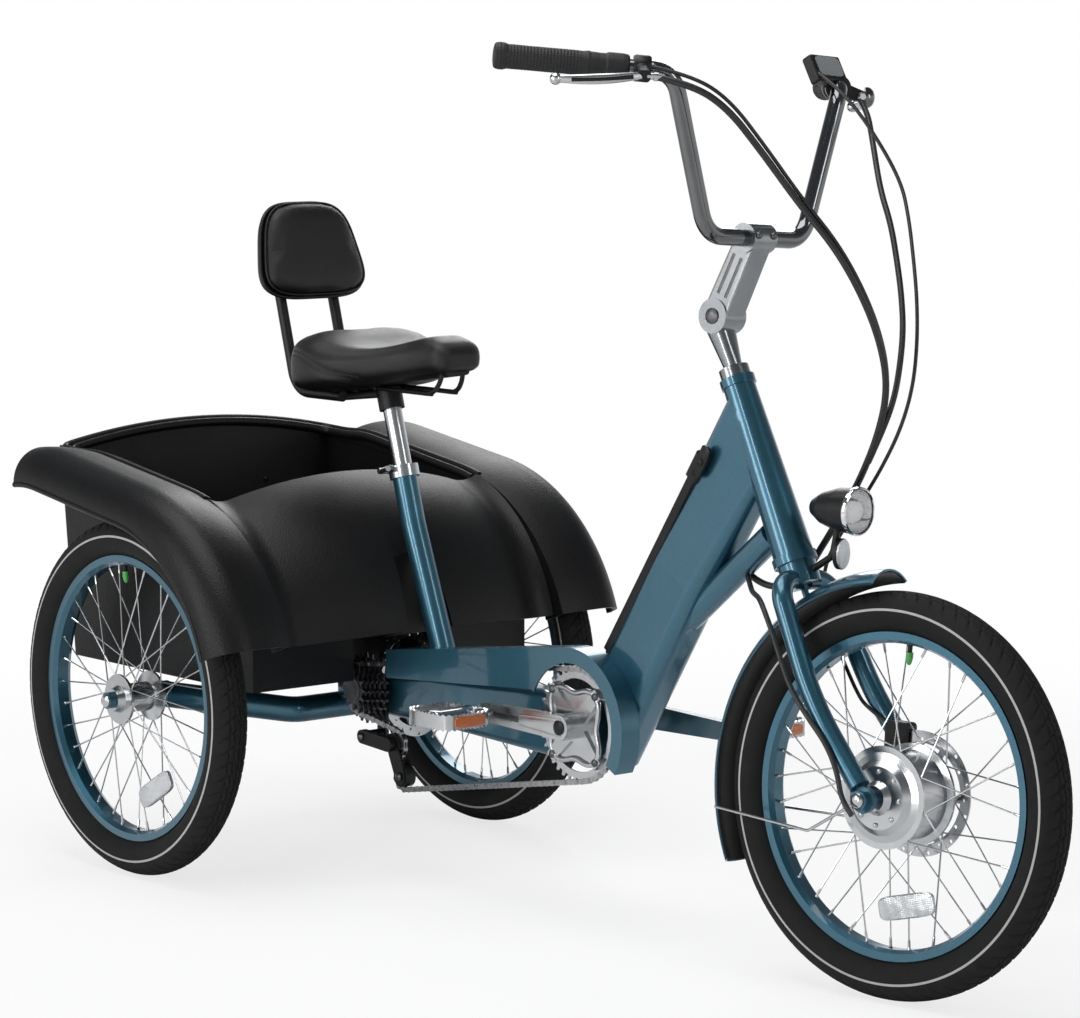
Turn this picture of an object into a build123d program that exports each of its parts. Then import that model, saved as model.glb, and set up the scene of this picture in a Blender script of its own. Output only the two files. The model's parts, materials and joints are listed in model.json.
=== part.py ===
from build123d import *
import math
import os

# Electric tricycle: one steered front wheel with a hub motor, two rear wheels beside a cargo tub.
# Millimetres, +X forward, +Y to the rider's left, +Z up, origin on the ground under the box centre.

# Driving dimensions of the whole machine
WHEELBASE = 1233.0
TRACK = 636.0
WHEEL_RADIUS = 258.0
PARKED_STEER = 9.0
HEAD_ANGLE = 63.5
FORK_OFFSET = 41.0

# Wheels
TYRE_WIDTH = 57.0
TREAD_WIDTH = 36.0
TREAD_CROWN = 6.0
RIM_FLANGE_RADIUS = 207.0
RIM_BED_RADIUS = 203.0
RIM_NOSE_RADIUS = 192.6
RIM_WIDTH = 32.0
RIM_FLANGE = 3.0
RIM_NOSE_WIDTH = 18.0
RIM_SLOPE = 4.5
BEAD_LIFT = 1.0
SPOKES = 36
SPOKE_DIAMETER = 2.2
SPOKE_CROSS_ANGLE = 34.0
SPOKE_RIM_SHARE = 0.1
SPOKE_INSET = 4.0
SEAT_GAP = 0.1
RUNNING_GAP = 0.06
FACE_GAP = 0.3

# Rear hubs and the tube that carries them
HUB_SHELL_RADIUS = 21.0
HUB_FLANGE_RADIUS = 36.0
HUB_FLANGE_SPACING = 54.0
HUB_FLANGE_WALL = 4.0
HUB_FLANGE_FOOT = 5.0
HUB_END_FLARE = 4.0
HUB_HALF_LENGTH = 40.0
HUB_END_RADIUS = 16.0
AXLE_RADIUS = 8.0
AXLE_NUT_RADIUS = 12.0
AXLE_NUT_LENGTH = 9.0
CARRIER_DIAMETER = 38.0
CARRIER_FORWARD = 82.0
CARRIER_HEIGHT = 226.0
CARRIER_HALF_STRAIGHT = 95.0
CARRIER_BEND = 70.0
AXLE_BOSS_RADIUS = 19.0
AXLE_BOSS_LENGTH = 16.0

# Front hub motor and its brake disc
MOTOR_RADIUS = 57.0
MOTOR_FLANGE_RADIUS = 65.0
MOTOR_HALF_WIDTH = 33.0
MOTOR_FLANGE_WALL = 4.0
MOTOR_COVER_RADIUS = 40.0
MOTOR_COVER_DEPTH = 10.0
MOTOR_COVER_FLARE = 8.0
MOTOR_STEP = 3.0
MOTOR_BOSS_RADIUS = 22.0
MOTOR_BOSS_DEPTH = 18.0
MOTOR_BOSS_TAPER = 6.0
MOTOR_AXLE_RADIUS = 7.0
DISC_RADIUS = 80.0
DISC_TRACK = 15.0
DISC_THICKNESS = 2.0
DISC_ARMS = 6
DISC_ARM_WIDTH = 9.0
DISC_ARM_BITE = 4.0
DISC_BOSS_BAND = 7.0
DISC_HOLES = 24
DISC_HOLE_RADIUS = 2.6
DISC_HOLE_SHIFT = 3.5

# Fork, measured along the steering axis up from the point nearest the front axle
CROWN_BOTTOM = 298.0
HEAD_BOTTOM = 328.0
HEAD_LENGTH = 258.0
HEAD_RADIUS_BOTTOM = 27.0
HEAD_RADIUS_TOP = 21.0
STEERER_RADIUS = 14.3
CROWN_RADIUS = 25.0
LEG_DIAMETER = 27.0
LEG_SPACING_CROWN = 106.0
LEG_KNEE_SPACING = 128.0
LEG_SPACING_AXLE = 140.0
SHOULDER_RISE = 306.0
SHOULDER_AHEAD = 3.0
SHOULDER_BEND = 34.0
SHOULDER_ROOT = 8.0
LEG_KNEE_RISE = 140.0
LEG_KNEE_AHEAD = 6.0
LEG_BEND = 420.0
FENDER_BOLT = 9.0
DROPOUT_THICKNESS = 7.0
DROPOUT_RADIUS = 17.0

# Main frame
FRONT_CENTRE = 560.0
BB_HEIGHT = 278.0
BB_SHELL_RADIUS = 24.0
BB_SHELL_WIDTH = 84.0
SPINDLE_RADIUS = 12.0
DOWN_TUBE_DEPTH = 104.0
DOWN_TUBE_WIDTH = 62.0
DOWN_TUBE_CORNER = 20.0
DOWN_TUBE_ANGLE = 56.7
DOWN_TUBE_BELOW_BB = 22.0
DOWN_TUBE_BEHIND_BB = 34.0
DOWN_TUBE_STRAIGHT = 300.0
GUSSET_LOW = 440.0
GUSSET_HIGH = 572.0
GUSSET_WIDTH = 44.0
GUSSET_CORNER = 16.0
CUP_LIP = 2.5
CUP_HEIGHT = 11.0
STRUT_DIAMETER = 36.0
STRUT_FOOT = (173.0, 440.0)
STRUT_HEAD = (333.0, 566.0)
BEAM_WIDTH = 46.0
BEAM_CORNER = 12.0
BEAM_REAR = 84.0
BEAM_AHEAD = 17.0
BEAM_TOP_REAR = 262.0
BEAM_TOP_KNEE = (300.0, 300.0)
BEAM_TOP_FRONT = 314.0
BEAM_BOTTOM_FRONT = 214.0
BEAM_BOTTOM_KNEE = (330.0, 226.0)
BEAM_BOTTOM_REAR = 226.0
SEAT_TUBE_DIAMETER = 36.0
SEAT_TUBE_FOOT = (332.0, 309.0)
SEAT_TUBE_KINK = (247.0, 508.0)
SEAT_TUBE_BEND = 120.0
SEAT_ANGLE = 73.0
SEAT_TUBE_UPPER = 86.0
SEAT_POST_RADIUS = 13.6
SEAT_POST_LENGTH = 202.0
SEAT_POST_SUNK = 96.0
COLLAR_WALL = 4.0
COLLAR_HEIGHT = 17.0
COLLAR_EAR = 12.0
COLLAR_EAR_DIAMETER = 14.0
COLLAR_BOLT = 9.0
COLLAR_BOLT_HALF = 24.0
COLLAR_LEVER = 8.0
COLLAR_LEVER_TIP = (38.0, -36.0, 8.0)

# Battery let into the back of the down tube
BATTERY_LENGTH = 352.0
BATTERY_WIDTH = 40.0
BATTERY_DEPTH = 40.0
BATTERY_PROUD = 5.0
BATTERY_CORNER = 6.0
BATTERY_ABOVE_FOOT = 118.0

# Drive line
CRANK_LENGTH = 165.0
CHAINRING_TEETH = 38
CHAIN_PITCH = 12.7
CHAIN_LINE = 48.0
ROLLER_RADIUS = 3.9
TOOTH_FOOT_SHARE = 0.55
TOOTH_TIP_SHARE = 0.22
TOOTH_RISE = 3.2
TOOTH_SUNK = 1.0
TOOTH_THICKNESS = 2.6
RING_BAND = 9.0
SPIDER_ARMS = 4
SPIDER_HUB_RADIUS = 22.0
SPIDER_OUTER = 57.0
SPIDER_TURN = 45.0
SPIDER_FOOT_HALF = 13.0
SPIDER_TIP_HALF = 8.0
SPIDER_INSET = 3.0
CRANK_BOSS_RADIUS = 18.0
CRANK_PLANE = 76.0
CRANK_THICKNESS = 13.0
CRANK_HUB_RADIUS = 17.0
CRANK_END_RADIUS = 12.5
PEDAL_PLANE = 142.0
PEDAL_LENGTH = 96.0
PEDAL_WIDTH = 86.0
PEDAL_HEIGHT = 24.0
PEDAL_BARREL = 22.0
PEDAL_RAIL = 9.0
PEDAL_PIN_RADIUS = 6.0
PEDAL_PIN_INSET = 6.0
PEDAL_CORNER = 12.0
PEDAL_WINDOW_CORNER = 4.0
JACKSHAFT_FORWARD = 184.0
JACKSHAFT_HEIGHT = 266.0
JACKSHAFT_RADIUS = 9.0
JACKSHAFT_HALF = 66.0
COG_TEETH = (24, 21, 18, 16, 14, 12)
CHAIN_COG = 2
COG_SPACING = 5.0
COG_INNER_SIDE = 38.0
COG_CORE_RADIUS = 18.0
DISC_BOSS_RADIUS = 20.0
DISC_BOSS_HALF = 8.0
REAR_DISC_SIDE = 42.0
CHAIN_PLATE = 1.2
CHAIN_PLATE_HEIGHT = 8.0
CHAIN_SIDE_GAP = 0.5
UPPER_PULLEY = (266.0, 196.0)
LOWER_PULLEY = (286.0, 152.0)
PULLEY_PITCH = 20.0
CAGE_GAP = 8.0
CAGE_RADIUS = 12.0
CAGE_WALL = 2.5
HANGER = (206.0, 200.0)
HANGER_TOP = 262.0
HANGER_WIDTH = 20.0
HANGER_WALL = 6.0
HANGER_PIN_RADIUS = 8.0
LINK_RADIUS = 10.0
LINK_WIDTH = 10.0
GUARD_RADIUS = 106.0
GUARD_INNER_RADIUS = 86.0
GUARD_END_ANGLE = -30.0
GUARD_PLANE = 60.0
GUARD_WALL = 3.0
GUARD_REAR = 262.0
GUARD_REAR_TOP = 332.0
GUARD_REAR_BOTTOM = 293.0
GUARD_KNEE = (-83.0, 318.0)
CALIPER_LENGTH = 36.0
CALIPER_HEIGHT = 46.0
CALIPER_CORNER = 6.0
CALIPER_GAP = 1.5
REAR_CALIPER_AHEAD = 72.0
REAR_CALIPER_RISE = -22.0
FRONT_CALIPER_ANGLE = 120.0
FRONT_CALIPER_REACH = 74.0
FRONT_CALIPER_SIDE = 47.5
FRONT_CALIPER_DEPTH = 19.0

# Cargo body
TUB_HALF_WIDTH = 248.0
TUB_WALL = 4.0
TUB_FLOOR = 281.0
TUB_FRONT = 195.0
TUB_REAR_FOOT = -266.0
TUB_REAR_TOP = -300.0
TUB_REAR_HEIGHT = 594.0
TUB_REAR_CROWN = 621.0
FENDER_CREST_RADIUS = 312.0
FENDER_START_ANGLE = 19.5
FENDER_END_ANGLE = 81.5
FENDER_STRAIGHT = 220.0
FENDER_TAIL_RADIUS = 250.0
FENDER_TAIL_ANGLE = 16.0
FENDER_WALL = 4.0
FENDER_CREST_SIDE = 312.0
FENDER_LIP_SIDE = 370.0
FENDER_LIP_DROP = 50.0
FENDER_LIP_BULGE = 12.0
FENDER_SKIRT_DROP = 52.0
FENDER_INNER_DROP = 12.0
FENDER_INNER_SHARE = 0.3
FENDER_LIP_SHARE = 0.4
PANEL_AXIS_FORWARD = -6.0
PANEL_AXIS_HEIGHT = 286.0
PANEL_EDGE_RADIUS = 277.5
PANEL_VALLEY_RADIUS = 270.0
PANEL_VALLEY_SIDE = 205.0
PANEL_CENTRE_RADIUS = 300.0
PANEL_TOP_ANGLE = 71.5
PANEL_BOTTOM_ANGLE = 14.3
PANEL_TUBE_GAP = 1.0
PANEL_CORE_RADIUS = 150.0
CHANNEL_FOOT = 330.0
CHANNEL_FOOT_HALF = 44.0
CHANNEL_TOP = 530.0
CHANNEL_TOP_HALF = 24.0
CHANNEL_BACK = 238.0
CHANNEL_REACH = 100.0
TUNNEL_REAR = 92.0
TUNNEL_WIDTH = 150.0
TUNNEL_TOP = 356.0

# Seat
SADDLE_NOSE = 371.0
SADDLE_REAR = 86.0
SADDLE_WIDTH = 248.0
SADDLE_TOP = 782.0
SADDLE_BOTTOM = 706.0
SADDLE_NOSE_RADIUS = 34.0
SADDLE_WING_RADIUS = 62.0
SADDLE_EDGE = 12.0
SADDLE_DIP = 15.0
SADDLE_DIP_SHARE = 0.45
SADDLE_CREST_SHARE = 0.18
SADDLE_NOSE_DROP = 12.0
SADDLE_NOSE_LIFT = 20.0
SADDLE_FLAT = 150.0
SADDLE_CLAMP_HEIGHT = 22.0
SADDLE_CLAMP_WALL = 5.0
SADDLE_CLAMP_BOLT = 7.0
RAIL_DIAMETER = 7.0
RAIL_SPACING = 44.0
RAIL_INSET = 26.0
BACKREST_BOTTOM = 818.0
BACKREST_HEIGHT = 146.0
BACKREST_WIDTH = 198.0
BACKREST_TOP_WIDTH = 148.0
BACKREST_THICKNESS = 42.0
BACKREST_FORWARD = 0.0
BACKREST_LEAN = 16.0
BACKREST_CORNER = 42.0
BACKREST_EDGE = 12.0
BACKREST_POST_DROP = 14.0
BACKREST_POST_BEND = 40.0
BACKREST_POST_SPACING = 95.0
BACKREST_POST_DIAMETER = 16.0
BACKREST_FOOT = 30.0
BACKREST_TIE = 22.0
BACKREST_TIE_DIAMETER = 14.0
BACKREST_LUG_DIAMETER = 11.0

# Handlebar and controls
BAR_DIAMETER = 22.2
BAR_CORNER = (279.0, 98.0, 946.0)
BAR_TOP = (272.0, 170.0, 1150.0)
BAR_END = (117.0, 332.0, 1158.0)
BAR_BEND = 42.0
BAR_TOP_BEND = 36.0
GRIP_DIAMETER = 33.0
GRIP_LENGTH = 128.0
GRIP_CAP = 4.0
THROTTLE_LENGTH = 40.0
PERCH_GAP = 5.0
PERCH_LENGTH = 22.0
PERCH_DIAMETER = 34.0
PERCH_ARM = 16.0
LEVER_AHEAD = 36.0
LEVER_DROP = 10.0
LEVER_TIP_DROP = 14.0
LEVER_LENGTH = 110.0
LEVER_DIAMETER = 9.0
LEVER_BALL = 8.0
DISPLAY_SPOT = (242.0, 173.0, 1172.0)
DISPLAY_SIZE = (18.0, 62.0, 40.0)
DISPLAY_TILT = 30.0
DISPLAY_CORNER = 4.0
DISPLAY_FOOT = 188.0
DISPLAY_CLAMP_HALF = 8.0
DISPLAY_POST = 14.0
STEM_PIVOT = (232.0, 843.0)
QUILL_RADIUS = 12.0
QUILL_TOP_DEPTH = 34.0
QUILL_TOP_CORNER = 14.0
HEADSET_RADIUS = 20.0
HEADSET_HEIGHT = 14.0
PIVOT_RADIUS = 23.0
PIVOT_WIDTH = 42.0
STEM_ARM_FOOT_RADIUS = 21.0
STEM_ARM_RADIUS = 18.5
STEM_ARM_WIDTH = 38.0
STEM_ARM_CORNER = 5.0
BAR_CLAMP_RADIUS = 19.5
BAR_CLAMP_WIDTH = 46.0

# Headlamp
LAMP_AHEAD = 8.7
LAMP_RISE = 102.4
LAMP_LENGTH = 72.0
LAMP_RADIUS = 30.0
LAMP_WALL = 3.0
# Shell and bowl of the lamp as shares of its length and of its outer and inner radius
LAMP_SHELL = ((0.0, 0.0), (0.03, 0.36), (0.25, 0.68), (0.6, 0.93), (1.0, 1.0))
LAMP_BOWL = ((1.0, 1.0), (0.85, 0.94), (0.62, 0.5), (0.55, 0.0))
LENS_EDGE = 2.0
LENS_SHOULDER = 4.0
LENS_SHOULDER_SHARE = 0.6
LENS_CROWN = 5.0
BRACKET_DROP = 30.0
BRACKET_BEND = 18.0
BRACKET_DIAMETER = 9.0
BRACKET_CROWN_RISE = 14.0
BRACKET_SUNK = 2.0
BRACKET_HEAD_SHARE = 0.6
REFLECTOR_DROP = 26.0
REFLECTOR_WIDTH = 28.0
REFLECTOR_HEIGHT = 40.0
REFLECTOR_THICKNESS = 6.0
REFLECTOR_SHARE = 0.72
REFLECTOR_ARM = 6.0

# Front fender
FRONT_FENDER_RADIUS = 284.0
FRONT_FENDER_WIDTH = 72.0
FRONT_FENDER_DROP = 16.0
FRONT_FENDER_WALL = 2.5
FRONT_FENDER_START = 97.0
FRONT_FENDER_END = 205.0
STAY_ANGLE = 190.0
STAY_SIDE = 78.0
STAY_ELBOW = (-79.0, -49.0)
STAY_BEND = 12.0
STAY_DIAMETER = 4.0

# Cable routes with the fork straight ahead: points forward of the bottom bracket, left and up,
# then the diameter.
# The leads meet the fork's cables at the two joining points.
HARNESS_JOIN = (383, 41, 552)
MOTOR_JOIN = (405, -76, 450)
CABLE_BEND_SHARE = 0.45
CONTROL_ROUTES = (
    (((271, -217, 1142), (315, -190, 1134), (351, -158, 1108), (381, -120, 1054), (419, -85, 990),
      (463, -58, 934), (493, -30, 866), (505, -8, 806), (503, 5, 758), (483, 18, 708),
      (455, 30, 660), (429, 38, 622), (405, 41, 585), HARNESS_JOIN), 9.0),
    (((240, 249, 1143), (281, 218, 1124), (329, 172, 1080), (378, 130, 1017), (412, 112, 974),
      (438, 95, 928), (463, 76, 884), (483, 58, 838), (497, 36, 790), (500, 24, 752)), 8.0),
    (((252, 146, 1168), (294, 139, 1148), (342, 146, 1100), (394, 152, 1031), (427, 130, 982),
      (455, 108, 929), (479, 88, 880), (497, 70, 826), (505, 56, 770), (493, 52, 716),
      (465, 54, 664), (431, 58, 616), (393, 68, 572), (363, 76, 528), (363, 78, 484),
      (383, 76, 440), (411, 72, 400), (439, 61, 372), (467, 46, 356), (511, 47, 336)), 5.0),
    ((MOTOR_JOIN, (421, -78, 420), (443, -80, 382), (475, -82, 350), (507, -84, 322),
      (529, -86, 288), (539, -89, 256), (559, -92, 240)), 7.0),
)
LEAD_ROUTES = (
    (((282, 0, 516), (303, -8, 492), (337, -34, 492), (367, -58, 492), (389, -74, 480), MOTOR_JOIN), 7.0),
    (((277, 6, 512), (303, 14, 494), (339, 34, 500), (363, 41, 522), HARNESS_JOIN), 9.0),
)

# Derived places
head = math.radians(HEAD_ANGLE)
parked = math.radians(PARKED_STEER)
tyre_core = WHEEL_RADIUS - TYRE_WIDTH / 2
axle_tip = math.sin(parked) * math.cos(head)
axle_yaw = math.sin(parked) * math.sin(head)
front_lift = tyre_core * (1 - math.sqrt(1 - axle_tip**2))
front_sink = FORK_OFFSET * (1 - math.cos(parked)) * math.cos(head)
FRONT_AXLE_HEIGHT = WHEEL_RADIUS - front_lift + front_sink
front_back_set = FORK_OFFSET * (1 - math.cos(parked)) * math.sin(head)
FRONT_REACH = WHEELBASE - front_back_set + tyre_core * math.sqrt(1 - axle_yaw**2) + TYRE_WIDTH / 2
fender_end = math.radians(FENDER_END_ANGLE)
tub_lean = TUB_REAR_FOOT - TUB_REAR_TOP
tub_rear_length = math.hypot(tub_lean, TUB_REAR_HEIGHT - TUB_FLOOR)
TAIL_OVERHANG = (TUB_REAR_CROWN - TUB_REAR_HEIGHT) * tub_lean / tub_rear_length - TUB_REAR_TOP
BB_FORWARD = WHEELBASE - FRONT_CENTRE
REAR_AXLE_X = (TAIL_OVERHANG - FRONT_REACH) / 2
HALF_TRACK = TRACK / 2


def at(forward, side, height):
    """A point given forward of the rear axle, to the left and above the ground."""
    return Vector(REAR_AXLE_X + forward, side, height)


def fore(forward, side, height):
    """A point given forward of the bottom bracket, to the left and above the ground."""
    return at(BB_FORWARD + forward, side, height)


FRONT_AXLE = at(WHEELBASE, 0, FRONT_AXLE_HEIGHT)
STEER_UP = Vector(-math.cos(head), 0, math.sin(head))
STEER_AHEAD = Vector(math.sin(head), 0, math.cos(head))
STEER_FOOT = FRONT_AXLE - STEER_AHEAD * FORK_OFFSET
STEER_AXIS = Axis(STEER_FOOT, STEER_UP)


def on_steerer(height, ahead=0.0, side=0.0):
    """A point up the steering axis from its foot, ahead of it and to the left."""
    return STEER_FOOT + STEER_UP * height + STEER_AHEAD * ahead + Vector(0, side, 0)


def steered(shape):
    """Turn a straight-ahead piece about the head tube to the angle it is parked at."""
    return shape.rotate(STEER_AXIS, PARKED_STEER)


def rod(start, end, diameter):
    """A round bar from one point to another."""
    line = Line(start, end)
    return sweep(Plane(origin=start, z_dir=line % 0) * Circle(diameter / 2), path=line)


def tube(points, bend, diameter):
    """A round bar along straight runs joined by tangent arcs."""
    path = FilletPolyline(*points, radius=bend)
    return sweep(Plane(origin=path @ 0, z_dir=path % 0) * Circle(diameter / 2), path=path)


def spin(outline, centre):
    """Revolve a closed outline of (radius, side) points about a crosswise axle."""
    profile = make_face(Polyline(*outline, close=True))
    return Pos(centre) * revolve(profile, axis=Axis.Y)


def crosswise(centre, radius, low_side, high_side):
    """A round bar across the machine between two sides."""
    length = high_side - low_side
    spot = Vector(centre.X, (low_side + high_side) / 2, centre.Z)
    return Pos(spot) * Rot(90, 0, 0) * Cylinder(radius, length)


def side_plate(outline, low_side, high_side):
    """A flat plate drawn in side view and given its thickness across the machine."""
    drawn = Plane.XZ * outline
    return Pos(0, high_side, 0) * extrude(drawn, amount=high_side - low_side)


# Wheels: tyre, rim, and hub with laced spokes, built at the origin about the Y axis
def tyre():
    neck = RIM_WIDTH / 2 - RIM_FLANGE - SEAT_GAP
    half = TYRE_WIDTH / 2
    shoulder = WHEEL_RADIUS - TREAD_CROWN
    bead = RIM_BED_RADIUS + SEAT_GAP
    lift = RIM_FLANGE_RADIUS + BEAD_LIFT
    wall_radius = (lift + shoulder) / 2
    outline = (
        Line((bead, -neck), (lift, -neck))
        + ThreePointArc((lift, -neck), (wall_radius, -half), (shoulder, -TREAD_WIDTH / 2))
        + ThreePointArc((shoulder, -TREAD_WIDTH / 2), (WHEEL_RADIUS, 0), (shoulder, TREAD_WIDTH / 2))
        + ThreePointArc((shoulder, TREAD_WIDTH / 2), (wall_radius, half), (lift, neck))
        + Line((lift, neck), (bead, neck))
        + Line((bead, neck), (bead, -neck))
    )
    return revolve(make_face(outline), axis=Axis.Y)


def rim():
    half = RIM_WIDTH / 2
    bed = half - RIM_FLANGE
    nose = RIM_NOSE_WIDTH / 2
    waist = RIM_NOSE_RADIUS + RIM_SLOPE
    outline = [
        (RIM_FLANGE_RADIUS, half), (RIM_FLANGE_RADIUS, bed), (RIM_BED_RADIUS, bed),
        (RIM_BED_RADIUS, -bed), (RIM_FLANGE_RADIUS, -bed), (RIM_FLANGE_RADIUS, -half),
        (waist, -half), (RIM_NOSE_RADIUS, -nose), (RIM_NOSE_RADIUS, nose), (waist, half),
    ]
    return spin(outline, Vector(0, 0, 0))


def spokes(flange_radius, flange_side):
    """Crossed spokes from both flanges to the rim's nose."""
    bars = []
    tip = RIM_NOSE_RADIUS - FACE_GAP
    for index in range(SPOKES):
        side = flange_side if index % 2 else -flange_side
        lean = SPOKE_CROSS_ANGLE if index % 4 < 2 else -SPOKE_CROSS_ANGLE
        rim_angle = math.radians(360.0 * index / SPOKES)
        hub_angle = rim_angle + math.radians(lean)
        start = Vector(flange_radius * math.cos(hub_angle), side, flange_radius * math.sin(hub_angle))
        end = Vector(tip * math.cos(rim_angle), side * SPOKE_RIM_SHARE, tip * math.sin(rim_angle))
        line = Line(start, end)
        bars.append(extrude(
            Plane(origin=start, z_dir=line % 0) * RegularPolygon(SPOKE_DIAMETER / 2, 6),
            amount=line.length,
        ))
    return bars


def rear_wheel_core():
    flange = HUB_FLANGE_SPACING / 2
    inner = flange - HUB_FLANGE_WALL / 2
    outer = flange + HUB_FLANGE_WALL / 2
    bore = AXLE_RADIUS + RUNNING_GAP
    shell = inner - HUB_FLANGE_FOOT
    collar = HUB_END_RADIUS + HUB_END_FLARE
    outline = [
        (bore, -HUB_HALF_LENGTH), (HUB_END_RADIUS, -HUB_HALF_LENGTH), (collar, -outer),
        (HUB_FLANGE_RADIUS, -outer), (HUB_FLANGE_RADIUS, -inner), (HUB_SHELL_RADIUS, -shell),
        (HUB_SHELL_RADIUS, shell), (HUB_FLANGE_RADIUS, inner), (HUB_FLANGE_RADIUS, outer),
        (collar, outer), (HUB_END_RADIUS, HUB_HALF_LENGTH), (bore, HUB_HALF_LENGTH),
    ]
    hub = spin(outline, Vector(0, 0, 0))
    return hub.fuse(*spokes(HUB_FLANGE_RADIUS - SPOKE_INSET, flange))


def motor_wheel_core():
    bore = MOTOR_AXLE_RADIUS + RUNNING_GAP
    half = MOTOR_HALF_WIDTH
    inner = half - MOTOR_FLANGE_WALL
    cover = half + MOTOR_COVER_DEPTH
    boss = half + MOTOR_BOSS_DEPTH
    flare = MOTOR_COVER_RADIUS + MOTOR_COVER_FLARE
    step = half + MOTOR_STEP
    shell = inner - MOTOR_STEP
    outline = [
        (bore, -boss), (MOTOR_BOSS_RADIUS - MOTOR_BOSS_TAPER, -boss), (MOTOR_BOSS_RADIUS, -cover),
        (MOTOR_COVER_RADIUS, -cover), (flare, -step), (MOTOR_RADIUS, -half),
        (MOTOR_FLANGE_RADIUS, -half), (MOTOR_FLANGE_RADIUS, -inner), (MOTOR_RADIUS, -shell),
        (MOTOR_RADIUS, shell), (MOTOR_FLANGE_RADIUS, inner), (MOTOR_FLANGE_RADIUS, half),
        (MOTOR_RADIUS, half), (flare, step), (MOTOR_COVER_RADIUS, cover),
        (MOTOR_BOSS_RADIUS, cover), (MOTOR_BOSS_RADIUS, boss), (bore, boss),
    ]
    hub = spin(outline, Vector(0, 0, 0))
    return hub.fuse(*spokes(MOTOR_FLANGE_RADIUS - SPOKE_INSET, half - MOTOR_FLANGE_WALL / 2))


def brake_disc(boss_radius):
    """A drilled ring on slanted arms round a boss."""
    ring = Circle(DISC_RADIUS) - Circle(DISC_RADIUS - DISC_TRACK)
    middle = DISC_RADIUS - DISC_TRACK / 2
    for index in range(DISC_HOLES):
        reach = middle + (DISC_HOLE_SHIFT if index % 2 else -DISC_HOLE_SHIFT)
        ring -= Rot(0, 0, 360.0 * index / DISC_HOLES) * Pos(reach, 0) * Circle(DISC_HOLE_RADIUS)
    arm_length = DISC_RADIUS - DISC_TRACK + DISC_ARM_BITE - boss_radius
    for index in range(DISC_ARMS):
        arm = Pos(boss_radius + arm_length / 2, 0) * Rectangle(arm_length, DISC_ARM_WIDTH)
        ring += Rot(0, 0, 360.0 * index / DISC_ARMS) * arm
    ring += Circle(boss_radius + DISC_BOSS_BAND)
    ring -= Circle(boss_radius + SEAT_GAP)
    return Rot(90, 0, 0) * extrude(ring, amount=DISC_THICKNESS / 2, both=True)


nodes = {}
front_wheel_spot = Pos(FRONT_AXLE)
nodes["tyre_front"] = steered(front_wheel_spot * tyre())
nodes["rim_front"] = steered(front_wheel_spot * rim())
nodes["motor_hub_front"] = steered(front_wheel_spot * motor_wheel_core())
disc_side = MOTOR_HALF_WIDTH + MOTOR_COVER_DEPTH + DISC_THICKNESS / 2 + SEAT_GAP
disc_spot = Pos(FRONT_AXLE + Vector(0, disc_side, 0))
nodes["brake_disc_front"] = steered(disc_spot * brake_disc(MOTOR_BOSS_RADIUS))
for name, sign in (("right", -1), ("left", 1)):
    wheel_spot = Pos(at(0, sign * HALF_TRACK, WHEEL_RADIUS))
    nodes["tyre_rear_" + name] = wheel_spot * tyre()
    nodes["rim_rear_" + name] = wheel_spot * rim()
    nodes["hub_rear_" + name] = wheel_spot * rear_wheel_core()


# Rear axle tube: a bent tube ahead of the axle line, with a boss and a stub axle at each end
def axle_carrier():
    boss_side = HALF_TRACK - HUB_HALF_LENGTH - FACE_GAP - AXLE_BOSS_LENGTH / 2
    tip = at(0, boss_side, WHEEL_RADIUS)
    elbow = at(CARRIER_FORWARD, CARRIER_HALF_STRAIGHT, CARRIER_HEIGHT)
    shape = tube([
        Vector(tip.X, -tip.Y, tip.Z), Vector(elbow.X, -elbow.Y, elbow.Z), elbow, tip,
    ], CARRIER_BEND, CARRIER_DIAMETER)
    nut_low = HALF_TRACK + HUB_HALF_LENGTH + FACE_GAP
    for sign in (-1, 1):
        spans = (
            (AXLE_BOSS_RADIUS, boss_side - AXLE_BOSS_LENGTH / 2, boss_side + AXLE_BOSS_LENGTH / 2),
            (AXLE_RADIUS, boss_side, nut_low + AXLE_NUT_LENGTH / 2),
            (AXLE_NUT_RADIUS, nut_low, nut_low + AXLE_NUT_LENGTH),
        )
        for radius, low, high in spans:
            low_side = min(sign * low, sign * high)
            shape += crosswise(tip, radius, low_side, low_side + high - low)
    return shape


nodes["axle_carrier"] = axle_carrier()


# Down tube, head tube and brace
down_angle = math.radians(DOWN_TUBE_ANGLE)
DOWN_ALONG = Vector(math.cos(down_angle), 0, math.sin(down_angle))
DOWN_AHEAD = Vector(DOWN_ALONG.Z, 0, -DOWN_ALONG.X)
BB = at(BB_FORWARD, 0, BB_HEIGHT)
DOWN_FOOT = BB - DOWN_ALONG * DOWN_TUBE_BELOW_BB + DOWN_AHEAD * (DOWN_TUBE_DEPTH / 2 - DOWN_TUBE_BEHIND_BB)
DOWN_PLANE = Plane(origin=DOWN_FOOT, x_dir=DOWN_AHEAD, z_dir=DOWN_ALONG)
HEAD_TOP = HEAD_BOTTOM + HEAD_LENGTH


def head_tube():
    bottom = Plane(origin=on_steerer(HEAD_BOTTOM), z_dir=STEER_UP) * Circle(HEAD_RADIUS_BOTTOM)
    top = Plane(origin=on_steerer(HEAD_TOP), z_dir=STEER_UP) * Circle(HEAD_RADIUS_TOP)
    return loft([bottom, top])


def steerer_bore():
    plane = Plane(origin=on_steerer(CROWN_BOTTOM), z_dir=STEER_UP)
    return extrude(plane * Circle(STEERER_RADIUS + RUNNING_GAP), amount=HEAD_TOP + CUP_HEIGHT - CROWN_BOTTOM)


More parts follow.
